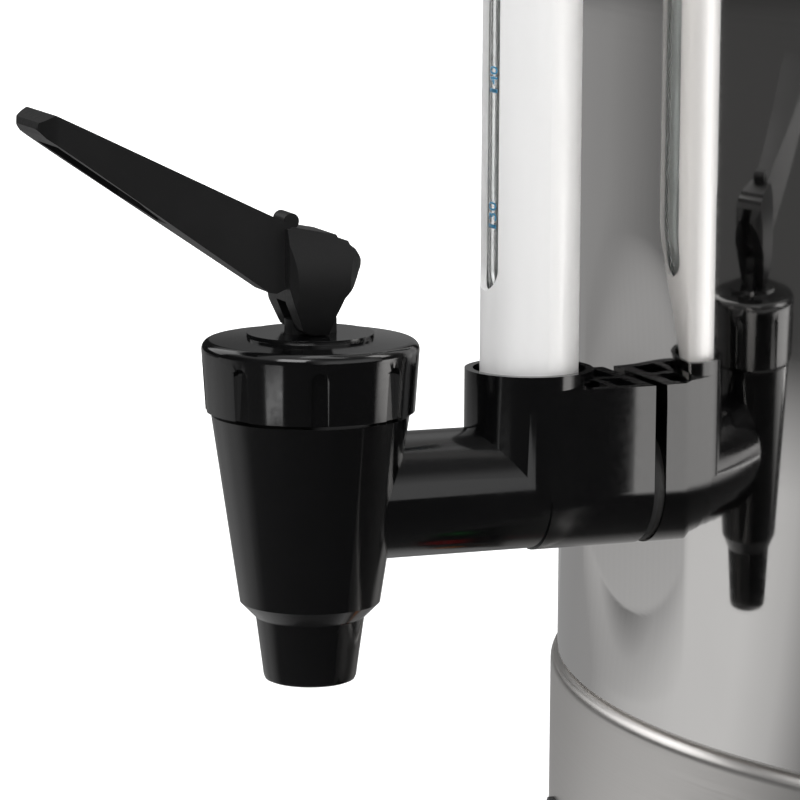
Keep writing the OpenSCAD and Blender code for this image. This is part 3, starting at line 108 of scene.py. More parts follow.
def new_group(name, inputs, outputs):
    """An empty shader group with its sockets: (name, type, default) for each."""
    group = bpy.data.node_groups.new(name, "ShaderNodeTree")
    for label, kind, value in inputs:
        socket = group.interface.new_socket(label, in_out="INPUT", socket_type=kind)
        if value is not None:
            socket.default_value = value
    for label, kind in outputs:
        group.interface.new_socket(label, in_out="OUTPUT", socket_type=kind)
    return group, group.nodes.new("NodeGroupInput"), group.nodes.new("NodeGroupOutput")


def add(tree, kind, links=(), **values):
    """Adds a node. links: (input, output socket) pairs; values: settings or input defaults."""
    node = tree.nodes.new(kind)
    for key, value in values.items():
        if hasattr(node, key):
            setattr(node, key, value)
        else:
            node.inputs[key.replace("_", " ")].default_value = value
    for socket, source in links:
        tree.links.new(source, node.inputs[socket])
    return node


def mapped(tree, source, low, high, out_low, out_high):
    """Maps a value from one range to another, clamped."""
    node = tree.nodes.new("ShaderNodeMapRange")
    tree.links.new(source, node.inputs["Value"])
    for label, value in (("From Min", low), ("From Max", high),
                         ("To Min", out_low), ("To Max", out_high)):
        if isinstance(value, (int, float)):
            node.inputs[label].default_value = value
        else:
            tree.links.new(value, node.inputs[label])
    return node.outputs["Result"]


def grain_group():
    """Fine even grain of moulded plastic or rubber."""
    group, gin, gout = new_group(
        "Moulded Grain",
        [("Vector", "NodeSocketVector", None), ("Scale", "NodeSocketFloat", 900.0),
         ("Low", "NodeSocketFloat", 0.0), ("High", "NodeSocketFloat", 1.0)],
        [("Value", "NodeSocketFloat"), ("Height", "NodeSocketFloat")])
    fine = add(group, "ShaderNodeTexNoise", [("Vector", gin.outputs["Vector"]),
                                             ("Scale", gin.outputs["Scale"])], Detail=3.0)
    broad = add(group, "ShaderNodeTexNoise", [("Vector", gin.outputs["Vector"])],
                Scale=38.0, Detail=4.0)
    both = add(group, "ShaderNodeMath", [(0, fine.outputs["Fac"]), (1, broad.outputs["Fac"])],
               operation="ADD")
    value = mapped(group, both.outputs[0], 0.75, 1.25, gin.outputs["Low"], gin.outputs["High"])
    group.links.new(value, gout.inputs["Value"])
    group.links.new(fine.outputs["Fac"], gout.inputs["Height"])
    return group


def streak_group():
    """Lines that a belt or wheel leaves in steel, long along X and Y and fine along Z."""
    group, gin, gout = new_group(
        "Polishing Lines",
        [("Vector", "NodeSocketVector", None), ("Fineness", "NodeSocketFloat", 2600.0),
         ("Low", "NodeSocketFloat", 0.0), ("High", "NodeSocketFloat", 1.0)],
        [("Value", "NodeSocketFloat"), ("Height", "NodeSocketFloat")])
    parts = add(group, "ShaderNodeSeparateXYZ", [(0, gin.outputs["Vector"])])
    fine_z = add(group, "ShaderNodeMath", [(0, parts.outputs["Z"]), (1, gin.outputs["Fineness"])],
                 operation="MULTIPLY")
    along = {}
    for axis in "XY":
        along[axis] = add(group, "ShaderNodeMath", [(0, parts.outputs[axis])], operation="MULTIPLY")
        along[axis].inputs[1].default_value = 14.0
    vector = add(group, "ShaderNodeCombineXYZ", [("X", along["X"].outputs[0]),
                                                 ("Y", along["Y"].outputs[0]),
                                                 ("Z", fine_z.outputs[0])])
    noise = add(group, "ShaderNodeTexNoise", [("Vector", vector.outputs[0])], Scale=1.0, Detail=5.0,
                Roughness=0.62)
    value = mapped(group, noise.outputs["Fac"], 0.32, 0.68, gin.outputs["Low"], gin.outputs["High"])
    group.links.new(value, gout.inputs["Value"])
    group.links.new(noise.outputs["Fac"], gout.inputs["Height"])
    return group


def smear_group():
    """Broad faint smears of handling, as a mask."""
    group, gin, gout = new_group(
        "Handling Smears",
        [("Vector", "NodeSocketVector", None), ("Scale", "NodeSocketFloat", 22.0),
         ("Amount", "NodeSocketFloat", 1.0)],
        [("Mask", "NodeSocketFloat")])
    noise = add(group, "ShaderNodeTexNoise", [("Vector", gin.outputs["Vector"]),
                                              ("Scale", gin.outputs["Scale"])],
                Detail=6.0, Roughness=0.6, Distortion=0.6)
    mask = mapped(group, noise.outputs["Fac"], 0.50, 0.78, 0.0, gin.outputs["Amount"])
    group.links.new(mask, gout.inputs["Mask"])
    return group


GROUPS = {}


def group_node(tree, name, vector, **values):
    """Places a shared group in a material."""
    makers = {"grain": grain_group, "lines": streak_group, "smears": smear_group}
    if name not in GROUPS:
        GROUPS[name] = makers[name]()
    node = tree.nodes.new("ShaderNodeGroup")
    node.node_tree = GROUPS[name]
    tree.links.new(vector, node.inputs["Vector"])
    for key, value in values.items():
        node.inputs[key].default_value = value
    return node


# ---------------------------------------------------------------- materials

def shade(colour, factor):
    """A colour made lighter or darker, with alpha."""
    return tuple(min(1.0, c * factor) for c in colour) + (1.0,)


def blank(name):
    """A new node material: its tree, its Principled shader and object coordinates."""
    material = bpy.data.materials.new(name)
    material.use_nodes = True
    tree = material.node_tree
    shader = tree.nodes["Principled BSDF"]
    coords = tree.nodes.new("ShaderNodeTexCoord").outputs["Object"]
    return material, tree, shader, coords


def two_tone(tree, shader, mask, dark, light):
    """Feeds the base colour with two close tones by a mask."""
    mix = add(tree, "ShaderNodeMix", data_type="RGBA")
    tree.links.new(mask, mix.inputs["Factor"])
    mix.inputs["A"].default_value = dark
    mix.inputs["B"].default_value = light
    tree.links.new(mix.outputs["Result"], shader.inputs["Base Color"])


def bump(tree, shader, height, strength, distance):
    """Feeds the shader's normal from a height."""
    node = add(tree, "ShaderNodeBump", [("Height", height)], Strength=strength, Distance=distance)
    tree.links.new(node.outputs["Normal"], shader.inputs["Normal"])


def set_inputs(shader, **values):
    """Plain numbers on the shader's own sockets."""
    for key, value in values.items():
        shader.inputs[key.replace("_", " ")].default_value = value


def worn_roughness(tree, shader, mask, value):
    """Feeds the roughness with a value that rises a little where the mask is."""
    total = add(tree, "ShaderNodeMath", [(0, mask)], operation="MULTIPLY_ADD")
    total.inputs[1].default_value = 0.05
    tree.links.new(value, total.inputs[2])
    tree.links.new(total.outputs[0], shader.inputs["Roughness"])


def steel(name, colour, rough, fineness=2600.0, line_bump=0.03, smears=0.35):
    """Polished or brushed steel: rough gives the lowest and highest roughness."""
    material, tree, shader, coords = blank(name)
    lines = group_node(tree, "lines", coords, Fineness=fineness, Low=rough[0], High=rough[1])
    marks = group_node(tree, "smears", coords, Scale=18.0, Amount=smears)
    worn_roughness(tree, shader, marks.outputs["Mask"], lines.outputs["Value"])
    two_tone(tree, shader, marks.outputs["Mask"], shade(colour, 1.0), shade(colour, 0.95))
    bump(tree, shader, lines.outputs["Height"], line_bump, 0.00002)
    set_inputs(shader, Metallic=1.0)
    return material


def plastic(name, colour, rough, grain=900.0, grain_bump=0.05, specular=0.5):
    """Moulded black or coloured plastic."""
    material, tree, shader, coords = blank(name)
    mould = group_node(tree, "grain", coords, Scale=grain, Low=rough[0], High=rough[1])
    marks = group_node(tree, "smears", coords, Scale=30.0, Amount=0.8)
    two_tone(tree, shader, marks.outputs["Mask"], shade(colour, 1.0), shade(colour, 1.5))
    worn_roughness(tree, shader, marks.outputs["Mask"], mould.outputs["Value"])
    bump(tree, shader, mould.outputs["Height"], grain_bump, 0.00005)
    set_inputs(shader, Specular_IOR_Level=specular)
    return material


def clear(name, colour, rough, ior):
    """Clear glass: rough is its lowest roughness."""
    material, tree, shader, coords = blank(name)
    marks = group_node(tree, "smears", coords, Scale=60.0, Amount=0.06)
    two_tone(tree, shader, marks.outputs["Mask"], shade(colour, 1.0), shade(colour, 0.94))
    worn = add(tree, "ShaderNodeMath", [(0, marks.outputs["Mask"])], operation="ADD")
    worn.inputs[1].default_value = rough
    tree.links.new(worn.outputs[0], shader.inputs["Roughness"])
    set_inputs(shader, Transmission_Weight=1.0, IOR=ior)
    return material


MADE = {}
TOUCHING = 0.002 * MM       # points nearer than this are one point
FLAT_TURN = 0.3             # degrees: faces that turn less are one flat face


def finish(name):
    """The finish of that name, made once."""
    if name not in MADE:
        c = bpy.context.scene.urn_colours
        makers = {
            "tank_steel": lambda: steel("Tank Mirror Steel", c.mirror_steel, (0.035, 0.060),
                                        900.0, 0.012, 0.5),
            "lid_steel": lambda: steel("Lid Steel", c.mirror_steel, (0.07, 0.12), 1400.0, 0.02, 0.5),
            "brew_steel": lambda: steel("Brewing Set Steel", c.plain_steel, (0.16, 0.28), 1800.0, 0.03),
            "base_steel": lambda: steel("Base Satin Steel", c.satin_steel, (0.30, 0.42),
                                        3200.0, 0.06, 0.3),
            "plate_steel": lambda: steel("Plate Steel", c.plain_steel, (0.30, 0.45), 1500.0, 0.04),
            "fixings": lambda: steel("Fixing Steel", c.plain_steel, (0.22, 0.34), 4000.0, 0.05),
            "spring_wire": lambda: steel("Spring Wire", c.plain_steel, (0.20, 0.30), 5000.0, 0.05),
            "element_sheath": lambda: steel("Element Sheath", shade(c.plain_steel, 0.55)[:3],
                                            (0.35, 0.5)),
            "contact_brass": lambda: steel("Contact Metal", (0.80, 0.72, 0.52), (0.2, 0.32), 4000.0),
            "shield_metal": shield_finish,
            "tap_black": lambda: plastic("Tap Gloss Black", c.tap, (0.09, 0.15), 700.0, 0.02, 0.45),
            "lever_black": lambda: plastic("Lever Satin Black", c.lever, (0.36, 0.46),
                                           1500.0, 0.10, 0.24),
            "knob_black": lambda: plastic("Grip Matt Black", c.grip, (0.34, 0.46), 1300.0, 0.10, 0.5),
            "panel_black": lambda: plastic("Panel Black", c.grip, (0.30, 0.42), 1800.0, 0.14, 0.5),
            "dark_rubber": lambda: plastic("Dark Rubber", c.rubber, (0.55, 0.7), 1200.0, 0.18, 0.4),
            "silicone": lambda: plastic("Milky Silicone", c.silicone, (0.35, 0.5), 800.0, 0.04, 0.4),
            "sensor_phenolic": lambda: plastic("Sensor Brown", (0.06, 0.035, 0.022), (0.4, 0.5)),
            "block_ceramic": lambda: plastic("Block Ceramic", (0.74, 0.72, 0.67), (0.45, 0.6),
                                             1500.0, 0.1),
            "lead_sleeve": lambda: plastic("Lead Sleeve", (0.62, 0.60, 0.55), (0.5, 0.65), 2500.0, 0.2),
            "rocker_red": lambda: plastic("Rocker Red", c.rocker, (0.16, 0.26), 1200.0, 0.04),
            "lens_amber": lambda: lens_finish("Amber Lens", c.amber),
            "lens_green": lambda: lens_finish("Green Lens", c.green),
            "sight_glass": lambda: clear("Gauge Glass", (0.96, 0.98, 0.975), 0.10, 1.30),
            "figures": lambda: plastic("Blue Print", c.figures, (0.35, 0.45), 2000.0, 0.02),
        }
        MADE[name] = makers[name]()
    return MADE[name]


def shield_finish():
    """Satin anodised metal: very bright, with a fine grain along the tube."""
    material, tree, shader, coords = blank("Shield Satin Metal")
    turned = add(tree, "ShaderNodeMapping", [("Vector", coords)], Rotation=(math.pi / 2, 0.0, 0.0))
    lines = group_node(tree, "lines", turned.outputs[0], Fineness=3000.0, Low=0.40, High=0.50)
    marks = group_node(tree, "smears", coords, Scale=25.0, Amount=0.5)
    colour = bpy.context.scene.urn_colours.shield
    two_tone(tree, shader, marks.outputs["Mask"], shade(colour, 1.0), shade(colour, 0.975))
    tree.links.new(lines.outputs["Value"], shader.inputs["Roughness"])
    bump(tree, shader, lines.outputs["Height"], 0.03, 0.00002)
    set_inputs(shader, Metallic=0.25)
    return material


def lens_finish(name, colour):
    """A coloured translucent lamp lens."""
    material, tree, shader, coords = blank(name)
    mould = group_node(tree, "grain", coords, Scale=600.0, Low=0.10, High=0.18)
    two_tone(tree, shader, mould.outputs["Height"], shade(colour, 0.9), shade(colour, 1.0))
    tree.links.new(mould.outputs["Value"], shader.inputs["Roughness"])
    bump(tree, shader, mould.outputs["Height"], 0.03, 0.00005)
    set_inputs(shader, Transmission_Weight=0.35)
    return material


def dress(name, *nodes):
    """Gives solids that stay as they are a finish."""
    material = finish(name)
    for node in nodes:
        for place in NODES[node].material_slots:
            place.material = material


# ---------------------------------------------------------------- mesh helpers

def merged_copy(node):
    """A solid's own faces as one closed mesh with its flat faces whole."""
    bm = bmesh.new()
    bm.from_mesh(NODES[node].data)
    bmesh.ops.remove_doubles(bm, verts=bm.verts, dist=TOUCHING)
    bmesh.ops.dissolve_limit(bm, angle_limit=math.radians(FLAT_TURN), use_dissolve_boundaries=False,
                             verts=bm.verts, edges=bm.edges, delimit=set())
    return bm


def soften(bm, width, segments=2, sharper_than=28.0):
    """Rounds every edge that is sharper than the angle given."""
    limit = math.radians(sharper_than)
    edges = [e for e in bm.edges if len(e.link_faces) == 2 and e.calc_face_angle(0.0) > limit]
    bmesh.ops.bevel(bm, geom=edges, offset=width, offset_type="OFFSET", segments=segments, profile=0.5,
                    affect="EDGES", clamp_overlap=True, loop_slide=True, material=-1)


def piece(name, bm, body, slot, nodes=(), sharp=32.0, material=None, softened=False):
    """Puts a finished mesh in the scene: on its body, with its slot and its finish.

    nodes: the solids that it replaces. sharp: edges that turn more (degrees) stay sharp.
    softened: the large faces keep their own shading beside narrow rounded edges.
    """
    mesh = bpy.data.meshes.new(name)
    bm.to_mesh(mesh)
    bm.free()
    for layer in ("custom_normal", "sharp_edge", "sharp_face"):
        if layer in mesh.attributes:
            mesh.attributes.remove(mesh.attributes[layer])
    mesh.materials.clear()
    mesh.materials.append(material or finish(slot))
    mesh.shade_smooth()
    mesh.set_sharp_from_angle(angle=math.radians(sharp))
    thing = bpy.data.objects.new(name, mesh)
    bpy.context.scene.collection.objects.link(thing)
    if softened:
        even = thing.modifiers.new("even_shading", "WEIGHTED_NORMAL")
        even.mode = "FACE_AREA_WITH_ANGLE"
        even.weight = 100
        even.keep_sharp = True
    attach(thing, body)
    if nodes:
        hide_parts(*nodes)
    return thing


def turned(profile, steps, closed=True):
    """A bmesh turned once round the Z axis from a few (radius, height) points."""
    bm = bmesh.new()
    points = [bm.verts.new((r, 0, z)) for r, z in profile]
    ring = zip(points, points[1:] + points[:1]) if closed else zip(points, points[1:])
    edges = [bm.edges.new(pair) for pair in ring]
    bmesh.ops.spin(bm, geom=points + edges, cent=(0, 0, 0), axis=(0, 0, 1), angle=2 * math.pi,
                   steps=steps, use_merge=True)
    bmesh.ops.remove_doubles(bm, verts=bm.verts, dist=TOUCHING)
    bmesh.ops.recalc_face_normals(bm, faces=bm.faces)
    return bm


def arc(cx, cz, r, first, last, count):
    """Points of an arc in a profile; the angles are in degrees."""
    turns = [math.radians(first + (last - first) * i / count) for i in range(count + 1)]
    return [(cx + r * math.cos(t), cz + r * math.sin(t)) for t in turns]


def levels(first, last, step):
    """Even heights from first to last, about one step apart."""
    count = max(1, round(abs(last - first) / step))
    return [first + (last - first) * i / count for i in range(count + 1)]


def cut(bm, tools):
    """Takes closed tool meshes away from a mesh."""
    things = []
    for index, source in enumerate([bm] + tools):
        mesh = bpy.data.meshes.new("cut")
        source.to_mesh(mesh)
        source.free()
        thing = bpy.data.objects.new("cut", mesh)
        bpy.context.scene.collection.objects.link(thing)
        things.append(thing)
        if index:
            modifier = things[0].modifiers.new("cut", "BOOLEAN")
            modifier.operation = "DIFFERENCE"
            modifier.solver = "EXACT"
            modifier.object = thing
    view = bpy.context.evaluated_depsgraph_get()
    result = bmesh.new()
    result.from_mesh(things[0].evaluated_get(view).data)
    for thing in things:
        mesh = thing.data
        bpy.data.objects.remove(thing)
        bpy.data.meshes.remove(mesh)
    return result


def block(low, high):
    """A block between two corners, as a tool."""
    bm = bmesh.new()
    bmesh.ops.create_cube(bm, size=1.0)
    bmesh.ops.scale(bm, vec=[b - a for a, b in zip(low, high)], verts=bm.verts)
    bmesh.ops.translate(bm, vec=[(a + b) / 2 for a, b in zip(low, high)], verts=bm.verts)
    return bm


def rod(centre, axis, r, depth, segments=48):
    """A round bar along an axis, as a tool."""
    bm = bmesh.new()
    bmesh.ops.create_cone(bm, cap_ends=True, segments=segments, radius1=r, radius2=r, depth=depth)
    turn = Vector((0, 0, 1)).rotation_difference(Vector(axis)).to_matrix()
    bmesh.ops.rotate(bm, cent=(0, 0, 0), matrix=turn, verts=bm.verts)
    bmesh.ops.translate(bm, vec=centre, verts=bm.verts)
    return bm


# ---------------------------------------------------------------- operators

class URN_OT_stage(bpy.types.Operator):
    """Adds the floor, the lamps, the surroundings and the camera"""
    bl_idname = "urn.stage"
    bl_label = "Stage"

    def execute(self, context):
        self.floor(context)
        self.surroundings(context)
        self.lamps()
        self.camera(context)
        context.scene.view_settings.view_transform = "Standard"
        return {"FINISHED"}

    def floor(self, context):
        """A pale floor: white to the camera, and the studio's tones in reflections."""
        bm = bmesh.new()
        bmesh.ops.create_grid(bm, x_segments=1, y_segments=1, size=40.0)
        mesh = bpy.data.meshes.new("studio_floor")
        bm.to_mesh(mesh)
        bm.free()
        ground = bpy.data.objects.new("studio_floor", mesh)
        context.scene.collection.objects.link(ground)
        material = bpy.data.materials.new("Floor")
        material.use_nodes = True
        tree = material.node_tree
        tree.nodes.clear()
        out = tree.nodes.new("ShaderNodeOutputMaterial")
        colour = tuple(context.scene.urn_colours.floor) + (1.0,)
        lit = add(tree, "ShaderNodeBsdfDiffuse", Color=colour)
        place = tree.nodes.new("ShaderNodeTexCoord").outputs["Object"]
        away = add(tree, "ShaderNodeVectorMath", [(0, place)], operation="LENGTH")
        glow = add(tree, "ShaderNodeEmission", Color=(1, 1, 1, 1))
        # to the camera the floor whitens with distance, so that the shadow near the urn stays
        whitening = mapped(tree, away.outputs["Value"], 0.2, 1.2, 0.30, 0.80)
        tree.links.new(whitening, glow.inputs["Strength"])
        seen = add(tree, "ShaderNodeAddShader", [(0, lit.outputs[0]), (1, glow.outputs[0])])
        studio = add(tree, "ShaderNodeEmission", [("Color", studio_colour(tree, place, False))],
                     Strength=1.0)
        by_ray(tree, out, lit, seen, studio)
        mesh.materials.append(material)

    def surroundings(self, context):
        """A white background, and a soft studio for reflections."""
        world = bpy.data.worlds.new("Studio")
        context.scene.world = world
        world.use_nodes = True
        tree = world.node_tree
        tree.nodes.clear()
        out = tree.nodes.new("ShaderNodeOutputWorld")
        direction = tree.nodes.new("ShaderNodeTexCoord").outputs["Generated"]
        plain = add(tree, "ShaderNodeBackground", Color=(1, 1, 1, 1), Strength=0.55)
        white = add(tree, "ShaderNodeBackground", Color=(1, 1, 1, 1), Strength=1.0)
        studio = add(tree, "ShaderNodeBackground", [("Color", studio_colour(tree, direction, True))],
                     Strength=1.0)
        by_ray(tree, out, plain, white, studio)

    def lamps(self):
        """Four large soft lamps and a low window: name, size, watts, place and aim, in metres."""
        for name, size, power, place, aim in (
            ("key_lamp", (1.6, 1.6), 50.0, (1.9, -1.9, 2.3), (0, -0.1, 0.2)),
            ("fill_lamp", (1.8, 1.8), 16.0, (-2.2, -1.6, 1.7), (0, -0.1, 0.2)),
            ("top_lamp", (1.5, 1.5), 14.0, (0.2, 0.3, 2.6), (0, 0, 0.2)),
            ("back_lamp", (1.6, 1.6), 12.0, (-0.6, 2.3, 1.9), (0, 0, 0.2)),
            ("front_window", (0.14, 0.014), 0.03, (0.210, -0.576, 0.043), (0.015, -0.227, 0.168)),
        ):
            data = bpy.data.lights.new(name, "AREA")
            data.shape = "RECTANGLE"
            data.size, data.size_y = size
            data.energy = power
            lamp = bpy.data.objects.new(name, data)
            lamp.location = place
            lamp.rotation_mode = "QUATERNION"
            lamp.rotation_quaternion = (Vector(aim) - Vector(place)).to_track_quat("-Z", "Y")
            bpy.context.scene.collection.objects.link(lamp)

    def camera(self, context):
        """The photograph's viewing angle."""
        data = bpy.data.cameras.new("camera")
        data.lens = 183.8
        data.sensor_width = 36.0
        data.clip_start = 0.05
        data.clip_end = 100.0
        camera = bpy.data.objects.new("camera", data)
        turn = Matrix.Identity(4)
        for angle, axis in ((68.53, "Z"), (80.547, "X"), (0.317, "Z")):
            turn = turn @ Matrix.Rotation(math.radians(angle), 4, axis)
        camera.matrix_world = Matrix.Translation((0.7106, -0.4754, 0.2893)) @ turn
        context.scene.collection.objects.link(camera)
        context.scene.camera = camera


def by_ray(tree, out, plain, seen, studio):
    """Sends a shader for each kind of ray: plain for light, seen for the camera, studio for gloss."""
    path = tree.nodes.new("ShaderNodeLightPath")
    clear_rays = add(tree, "ShaderNodeMath", [(0, path.outputs["Is Camera Ray"]),
                                              (1, path.outputs["Is Transmission Ray"])],
                     operation="MAXIMUM")
    first = add(tree, "ShaderNodeMixShader", [(0, clear_rays.outputs[0]), (1, plain.outputs[0]),
                                              (2, seen.outputs[0])])
    last = add(tree, "ShaderNodeMixShader", [(0, path.outputs["Is Glossy Ray"]),
                                             (1, first.outputs[0]), (2, studio.outputs[0])])
    tree.links.new(last.outputs[0], out.inputs["Surface"])


# tones by compass angle: (degrees from +X, tone)
NEAR_TONES = [(-180, 0.27), (-165, 0.27), (-152, 0.29), (-138, 0.48), (-125, 0.60), (-112, 0.62),
              (-104, 0.50), (-95, 0.14), (-60, 0.08), (-20, 0.05), (40, 0.05), (70, 0.25),
              (150, 0.30), (180, 0.33)]
FAR_TONES = [(-180, 0.28), (-160, 0.27), (-150, 0.22), (-135, 0.12), (-126, 0.055), (-105, 0.055),
             (-80, 0.12), (-50, 0.07), (-20, 0.04), (40, 0.04), (70, 0.25), (140, 0.34),
             (165, 0.36), (180, 0.28)]
SKY_TONES = [(-180, 0.02), (-155, 0.012), (-124, 0.03), (-100, 0.05), (-80, 0.15), (-50, 0.07),
             (-20, 0.04), (0, 1.30), (45, 1.30), (80, 0.25), (140, 0.30), (158, 0.24),
             (166, 0.02), (180, 0.02)]
OVERHEAD_TONES = [(-180, 0.85), (-30, 0.85), (0, 0.25), (70, 0.25), (100, 0.85), (180, 0.85)]
GLINT_TONES = [(-180, 0.0), (-70, 0.0), (-58, 4.0), (-44, 5.5), (-20, 5.5), (-12, 0.0), (180, 0.0)]

OVERHEAD_FROM, OVERHEAD_FULL = 0.40, 0.70   # sine of the elevation
FAR_FROM, FAR_FULL = 0.90, 1.25             # metres from the urn's axis
GLINT_FROM, GLINT_FULL = 0.50, 0.70         # metres from the urn's axis
DARK_BELOW, LIGHT_FROM = 0.058, 0.070       # sine of the angle at which a ray meets the floor


def studio_colour(tree, vector, is_world):
    """What polished metal sees: a tone for each direction round the urn, for the floor or the sky."""
    parts = add(tree, "ShaderNodeSeparateXYZ", [(0, vector)])
    angle = add(tree, "ShaderNodeMath", [(0, parts.outputs["Y"]), (1, parts.outputs["X"])],
                operation="ARCTAN2")
    turn = mapped(tree, angle.outputs[0], -math.pi, math.pi, 0.0, 1.0)
    if is_world:
        share = mapped(tree, parts.outputs["Z"], OVERHEAD_FROM, OVERHEAD_FULL, 0.0, 1.0)
        return blended(tree, "MIX", share, tones(tree, turn, SKY_TONES),
                       tones(tree, turn, OVERHEAD_TONES))
    flat = add(tree, "ShaderNodeCombineXYZ", [("X", parts.outputs["X"]), ("Y", parts.outputs["Y"])])
    away = add(tree, "ShaderNodeVectorMath", [(0, flat.outputs[0])], operation="LENGTH")
    share = mapped(tree, away.outputs["Value"], FAR_FROM, FAR_FULL, 0.0, 1.0)
    ground = blended(tree, "MIX", share, tones(tree, turn, NEAR_TONES), tones(tree, turn, FAR_TONES))
    # rays that only graze the floor see the dark of the room
    arriving = tree.nodes.new("ShaderNodeNewGeometry").outputs["Incoming"]
    height = add(tree, "ShaderNodeSeparateXYZ", [(0, arriving)])
    low_ray = mapped(tree, height.outputs["Z"], DARK_BELOW, LIGHT_FROM, 0.04, 1.0)
    shown = blended(tree, "MIX", low_ray, (0.01, 0.01, 0.01, 1.0), ground)
    # a reflection of a reflection sees a bright patch, which lights the web's mirror image
    bounces = tree.nodes.new("ShaderNodeLightPath").outputs["Ray Depth"]
    again = mapped(tree, bounces, 1.4, 1.6, 0.0, 1.0)
    far = mapped(tree, away.outputs["Value"], GLINT_FROM, GLINT_FULL, 0.0, 1.0)
    both = add(tree, "ShaderNodeMath", [(0, again), (1, far)], operation="MULTIPLY")
    return blended(tree, "ADD", both.outputs[0], shown, tones(tree, turn, GLINT_TONES))


def blended(tree, way, share, first, second):
    """Mixes two colours, each given as a value or as a socket."""
    mix = add(tree, "ShaderNodeMix", data_type="RGBA", blend_type=way)
    tree.links.new(share, mix.inputs["Factor"])
    for label, colour in (("A", first), ("B", second)):
        if isinstance(colour, tuple):
            mix.inputs[label].default_value = colour
        else:
            tree.links.new(colour, mix.inputs[label])
    return mix.outputs["Result"]


def tones(tree, turn, stops):
    """A ramp of tones over the compass."""
    ramp = add(tree, "ShaderNodeValToRGB", [("Fac", turn)])
    set_ramp(ramp.color_ramp, stops)
    return ramp.outputs["Color"]


def set_ramp(ramp, stops):
    """Fills a ramp from (angle, tone) stops."""
    while len(ramp.elements) > 1:
        ramp.elements.remove(ramp.elements[-1])
    for index, (angle, tone) in enumerate(stops):
        where = (angle + 180) / 360
        element = ramp.elements[0] if index == 0 else ramp.elements.new(where)
        element.position = where
        element.color = (tone, tone, tone, 1.0)


class URN_OT_tank(bpy.types.Operator):
    """Adds the polished tank with its pressed seat for the tap, and finishes its elements"""
    bl_idname = "urn.tank"
    bl_label = "Tank"

    def execute(self, context):
        low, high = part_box("tank")
        sheet = 0.9 * MM
        bead = 2.5 * MM
        bead_at = high.x - bead
        rim = high.z - bead
        outer = 149.0 * MM
        inner = outer - sheet
        foot = 98.0 * MM
        floor = 107.0 * MM
        well = 36.0 * MM
        fillet = 6.0 * MM
        shank_z = 144.0 * MM
        press = self.press_depth(outer)
        lower, upper = shank_z - 44 * MM, shank_z + 58 * MM     # heights that the pressing reaches
        half = 34 * MM                                          # and its reach to each side
        front = -130 * MM                                       # the wall's front lies before this Y
        slack = 0.3 * MM
        join = 180 + math.degrees(math.acos((bead_at - outer) / bead))
        profile = [(0, low.z + sheet), (well, low.z + sheet), (well, floor + sheet)]
        profile += arc(inner - fillet, floor + sheet + fillet, fillet, -90, 0, 6)
        profile += [(inner, z) for z in levels(floor + sheet + fillet + MM, upper, 3 * MM)]
        profile += arc(bead_at, rim, bead, 180, join - 360, 16)
        profile += [(outer, z) for z in levels(rim - 12 * MM, upper + 10 * MM, 30 * MM)]
        profile += [(outer, z) for z in levels(upper, lower, 2 * MM)]
        profile += [(outer, foot), (inner, foot), (inner, floor), (well + sheet, floor),
                    (well + sheet, low.z), (0, low.z)]
        bm = turned(profile, steps=360, closed=False)
        zone = [e for e in bm.edges if all(abs(v.co.x) < half and v.co.y < front
                                           and lower - MM < v.co.z < upper + MM for v in e.verts)]
        bmesh.ops.subdivide_edges(bm, edges=zone, cuts=2, use_grid_fill=True)
        for vert in bm.verts:
            x, y, z = vert.co
            away = math.hypot(x, y)
            if y > front or abs(x) > half or not inner - fillet - slack <= away <= outer + slack:
                continue
            wall = inner if away < (inner + outer) / 2 else outer
            vert.co.y += press(x, z - shank_z, wall) + math.sqrt(wall * wall - x * x)
        piece("tank_shell", bm, "urn", "tank_steel", ["tank"], sharp=24.0)
        dress("element_sheath", "brew_element", "warm_element")
        return {"FINISHED"}

    def press_depth(self, outer):
        """Returns the function that gives the wall's Y with the flat seat pressed into it.

        The function takes the place across and above the shank, and the wall's radius.
        """
        half = 24.0 * MM
        seat = math.sqrt(outer * outer - half * half)
        # radius of the flat, and radius where the ramp round it ends, above and below the shank
        above, below = (20.0 * MM, 54.0 * MM), (26.0 * MM, 43.5 * MM)
        steeper = 1.2           # the ramp below starts steep and runs out

        def place(x, up, wall):
            plain = math.sqrt(wall * wall - x * x)
            flat, edge = above if up > 0 else below
            share = min(1.0, max(0.0, (math.hypot(x, up) - flat) / (edge - flat)))
            share = share * share * (3 - 2 * share) if up > 0 else 1 - (1 - share) ** steeper
            pressed = (seat - (outer - wall)) * (1 - share) + plain * share
            return -min(plain, pressed)
        return place


class URN_OT_lid(bpy.types.Operator):
    """Finishes the lid, its knob and the guard below the knob"""
    bl_idname = "urn.lid"
    bl_label = "Lid"

    def execute(self, context):
        dress("lid_steel", "lid")
        dress("knob_black", "lid_knob")
        bm = merged_copy("knob_guard")
        soften(bm, context.scene.urn_sizes.grip_edge, 3)
        piece("knob_guard_disc", bm, "lid", "knob_black", ["knob_guard"], softened=True)
        dress("fixings", "knob_screw")
        return {"FINISHED"}


class URN_OT_brewing_set(bpy.types.Operator):
    """Finishes the basket, its lid and the pump"""
    bl_idname = "urn.brewing_set"
    bl_label = "Brewing Set"

    def execute(self, context):
        dress("brew_steel", "basket", "basket_lid", "pump_tube", "basket_collar", "pump_bell",
              "pump_washer")
        return {"FINISHED"}


